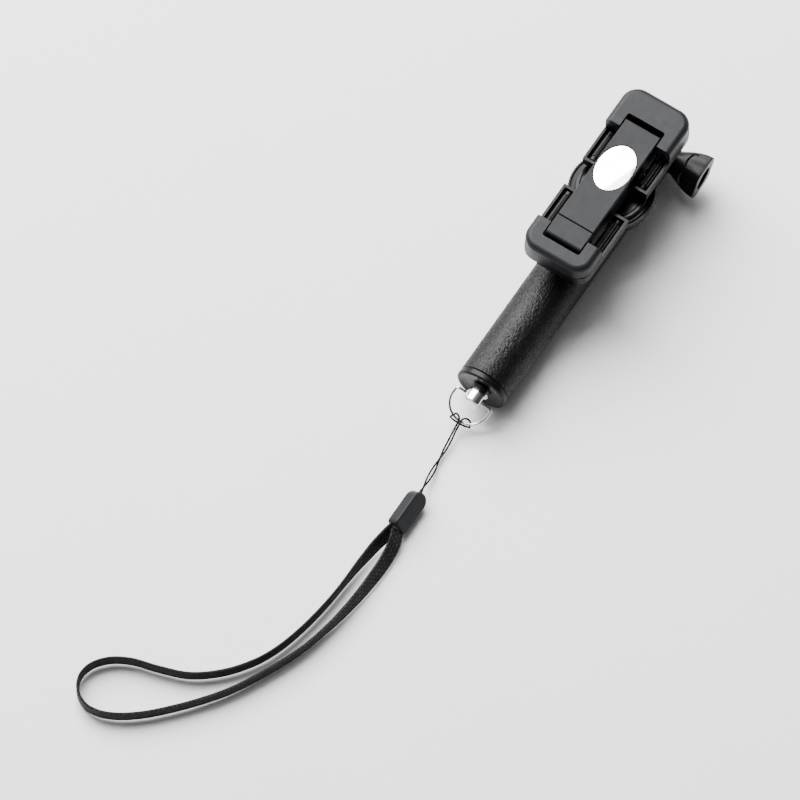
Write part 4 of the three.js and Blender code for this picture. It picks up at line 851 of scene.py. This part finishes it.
def build_turntable():
    low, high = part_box("platform_disc")
    centre = ((low.x + high.x) / 2, (low.y + high.y) / 2, 0)
    a = low.z / MM
    b = high.z / MM
    outer = (high.y - low.y) / 2 / MM
    profile = [(2.0, a), (outer, a), (outer, b), (16.5, b), (16.45, b - 0.8), (15.75, b - 0.8),
               (15.7, b), (2.0, b), (2.0, a)]
    line = eased_profile(profile, 0.22)
    segments = 480
    ribs = 80
    rings = []
    for radius, station in line:
        ring = []
        for j in range(segments):
            angle = 2 * math.pi * j / segments
            rib = 0.28 * (0.5 - 0.5 * math.cos(ribs * angle)) if radius > outer - 0.3 else 0.0
            r = (radius - rib) * MM
            ring.append((
                centre[0] + r * math.cos(angle), centre[1] + r * math.sin(angle), station * MM
            ))
        rings.append(ring)
    disc = loft("platform_disc_fine", rings, loop=True)
    finished(smooth(disc, 50), "platform_disc", BLACK)

    low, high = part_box("platform_pad")
    a = low.z / MM
    b = high.z / MM
    profile = [(4.0, a), (14.6, a), (14.6, b - 0.45), (14.15, b), (12.9, b), (12.6, b - 0.15),
               (4.0, b - 0.15), (4.0, a)]
    pad = turned("platform_pad_fine", profile, "z", centre, ease=0.2, segments=160, hollow=True)
    finished(smooth(pad, 50), "platform_pad", GLOSS)
    refined("swivel_washer", STEEL, 0.1, 2)
    refined("swivel_rivet", STEEL, 0.1, 2)


build_knob()
build_hinge_hardware()
build_turntable()

# ---------------------------------------------------------------- phone clamp


def ellipse(half_x, half_y, centre_y, z, segments=128):
    return [
        (
            half_x * math.cos(2 * math.pi * i / segments),
            centre_y + half_y * math.sin(2 * math.pi * i / segments),
            z,
        )
        for i in range(segments)
    ]


def build_bar():
    low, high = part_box("bar_cover")
    mirror_low, mirror_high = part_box("mirror")
    centre_y = (mirror_low.y + mirror_high.y) / 2
    half_x = (mirror_high.x - mirror_low.x) / 2
    half_y = (mirror_high.y - mirror_low.y) / 2
    cover = eased(corner_box("bar_cover_fine", low, high), 0.3, 4)
    evaluated(cover)
    gap = 0.22 * MM
    chamfer = 0.12 * MM
    floor = high.z - 1.1 * MM
    seat_rings = [
        (gap, floor), (gap, high.z - chamfer), (gap + 2 * chamfer, high.z + chamfer),
    ]
    seat = loft("seat_cut", [
        ellipse(half_x + grow, half_y + grow, centre_y, z) for grow, z in seat_rings
    ])
    cut(cover, [seat])
    flat = bmesh.new()
    flat.from_mesh(cover.data)
    bmesh.ops.triangulate(flat, faces=flat.faces)
    flat.to_mesh(cover.data)
    flat.free()
    finished(smooth(cover), "bar_cover", SATIN)
    refined("bar_end_cover", SATIN, 0.28, 4)

    rings = [ellipse(half_x, half_y, centre_y, floor + 0.1 * MM)]
    rim_z = high.z - 0.12 * MM
    crown = mirror_high.z - rim_z
    rings.append(ellipse(half_x, half_y, centre_y, rim_z - 0.1 * MM))
    steps = 14
    for i in range(steps):
        angle = math.pi / 2 * i / steps
        share = 0.985 * math.cos(angle)
        rings.append(ellipse(
            half_x * share, half_y * share, centre_y, rim_z + crown * (1 - share * share)
        ))
    mirror = loft("mirror_fine", rings)
    finished(smooth(mirror, 40), "mirror", MIRROR)


CLAW_FILLET = 2.4
CLAW_CORNER = 7.0
CLAW_NOTCH_HALF = 8.55


def claw_outline(half, inner, outer, radius, steps=16):
    """A strip from inner to outer along Y whose two outer corners are round."""
    out = 1 if outer > inner else -1
    points = [(-half, inner), (half, inner)]
    for side, first, last in ((1, 0.0, 90.0), (-1, 90.0, 180.0)):
        for i in range(steps + 1):
            angle = math.radians(first + (last - first) * i / steps)
            points.append((
                side * (half - radius) + radius * math.cos(angle),
                outer - out * radius + out * radius * math.sin(angle),
            ))
    return points


def build_claw(node, out, notch_depth):
    low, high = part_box(node)
    half = high.x / MM
    leg = (low.y if out > 0 else high.y) / MM
    outer = (high.y if out > 0 else low.y) / MM
    foot = low.z / MM
    top = high.z / MM
    past = leg - out * 3
    rings = []
    for z in (foot - CLAW_FILLET, top - CLAW_FILLET):
        rings.append([(x * MM, y * MM, z * MM)
                      for x, y in claw_outline(half, past, outer, CLAW_CORNER)])
    steps = 10
    for i in range(1, steps + 1):
        angle = math.pi / 2 * i / steps
        inset = CLAW_FILLET * (1 - math.cos(angle))
        z = top - CLAW_FILLET + CLAW_FILLET * math.sin(angle)
        outline = claw_outline(half - inset, past, outer - out * inset, CLAW_CORNER - inset)
        rings.append([(x * MM, y * MM, z * MM) for x, y in outline])
    claw = loft(node + "_fine", rings)
    notch = outer - out * notch_depth
    corner = 1.0
    notch_line = claw_outline(CLAW_NOTCH_HALF, leg - out * 9, notch, corner, 6)
    relief_line = claw_outline(CLAW_NOTCH_HALF, leg - out * 9, notch + out * 0.9, corner, 6)
    cutters = [
        loft("notch_cut", [[(x * MM, y * MM, z * MM) for x, y in notch_line]
                           for z in (foot - 9, top + 1)]),
        loft("relief_cut", [[(x * MM, y * MM, z * MM) for x, y in relief_line]
                            for z in (foot - 9, top - 1.5)]),
        corner_box("foot_cut", (-20 * MM, min(past, outer) * MM - 9 * MM, (foot - 9) * MM),
                   (20 * MM, max(past, outer) * MM + 9 * MM, foot * MM)),
    ]
    y_leg = sorted((leg, leg - out * 9))
    cutters.append(corner_box(
        "leg_cut", (-20 * MM, y_leg[0] * MM, (foot - 9) * MM),
        (20 * MM, y_leg[1] * MM, (top + 1) * MM)
    ))
    ear_x, ear_half, pivot_inset = 11.9, 1.0, 1.4
    slot_end = leg + out * (pivot_inset + 1.8)
    y_slot = sorted((leg - out, slot_end))
    for side in (-1, 1):
        cutters.append(corner_box(
            f"ear_cut{side}",
            ((side * ear_x - ear_half) * MM, y_slot[0] * MM, (foot - 1) * MM),
            ((side * ear_x + ear_half) * MM, y_slot[1] * MM, (foot + 4.1) * MM),
        ))
    cut(claw, cutters)
    eased(claw, 0.3, 4, 40)
    finished(claw, node, CLAW)


build_bar()
build_claw("upper_claw", 1, 12.6)
build_claw("lower_claw", -1, 6.8)
for frame_node in ("upper_frame", "lower_frame"):
    refined(frame_node, BLACK, 0.22)
for hidden in ("clamp_base", "clamp_tongue"):
    refined(hidden, BLACK, 0.25)
for index in range(1, 5):
    refined(f"grip_pad_{index}", STRIP, 0.1, 2)
    refined(f"claw_pin_{index}", STEEL, 0.12, 3)
    refined(f"frame_screw_{index}", STEEL, 0.12, 2)
for index in (1, 2):
    refined(f"cover_screw_{index}", STEEL, 0.12, 2)
for side_name in ("left", "right"):
    refined(f"clamp_spring_{side_name}", STEEL, 0.04, 1)

# ---------------------------------------------------------- floor and lights


def make_floor():
    half = 3.0
    corners = [(-half, -half), (half, -half), (half, half), (-half, half)]
    floor = make("floor", [(x, y, -0.0006) for x, y in corners], [(0, 1, 2, 3)])
    r = Recipe("floor_paper", (0.93, 0.93, 0.93), 0.9, specular=0.1)
    r.vary_colour(r.noise(60, 3), (0.945, 0.945, 0.945))
    floor.data.materials.append(r.material)


def area_light(name, place, size, power):
    data = bpy.data.lights.new(name, "AREA")
    data.shape = "RECTANGLE"
    data.size, data.size_y = size
    data.energy = power
    light = bpy.data.objects.new(name, data)
    bpy.context.scene.collection.objects.link(light)
    light.location = place
    aim = Vector((0, -0.1, 0)) - Vector(place)
    light.rotation_euler = aim.to_track_quat("-Z", "Y").to_euler()


def make_world(dark, bright):
    """A pale room, bright towards the upper left and dim on the right."""
    world = bpy.data.worlds.new("studio")
    world.use_nodes = True
    tree = world.node_tree
    place = tree.nodes.new("ShaderNodeTexCoord")
    toward = tree.nodes.new("ShaderNodeVectorMath")
    toward.operation = "DOT_PRODUCT"
    toward.inputs[1].default_value = Vector((-0.8, 0.35, 0.5)).normalized()
    level = tree.nodes.new("ShaderNodeMapRange")
    level.inputs["From Min"].default_value = -0.1
    level.inputs["From Max"].default_value = 0.9
    level.inputs["To Min"].default_value = dark
    level.inputs["To Max"].default_value = bright
    tree.links.new(place.outputs["Generated"], toward.inputs[0])
    tree.links.new(toward.outputs["Value"], level.inputs["Value"])
    tree.links.new(level.outputs["Result"], tree.nodes["Background"].inputs["Strength"])
    tree.nodes["Background"].inputs["Color"].default_value = (1, 1, 1, 1)
    bpy.context.scene.world = world


make_floor()
make_world(0.08, 0.6)
area_light("key", (-1.0, 0.45, 1.2), (1.5, 1.5), 120)
area_light("top", (-0.2, 0.22, 1.15), (0.42, 0.42), 3.5)
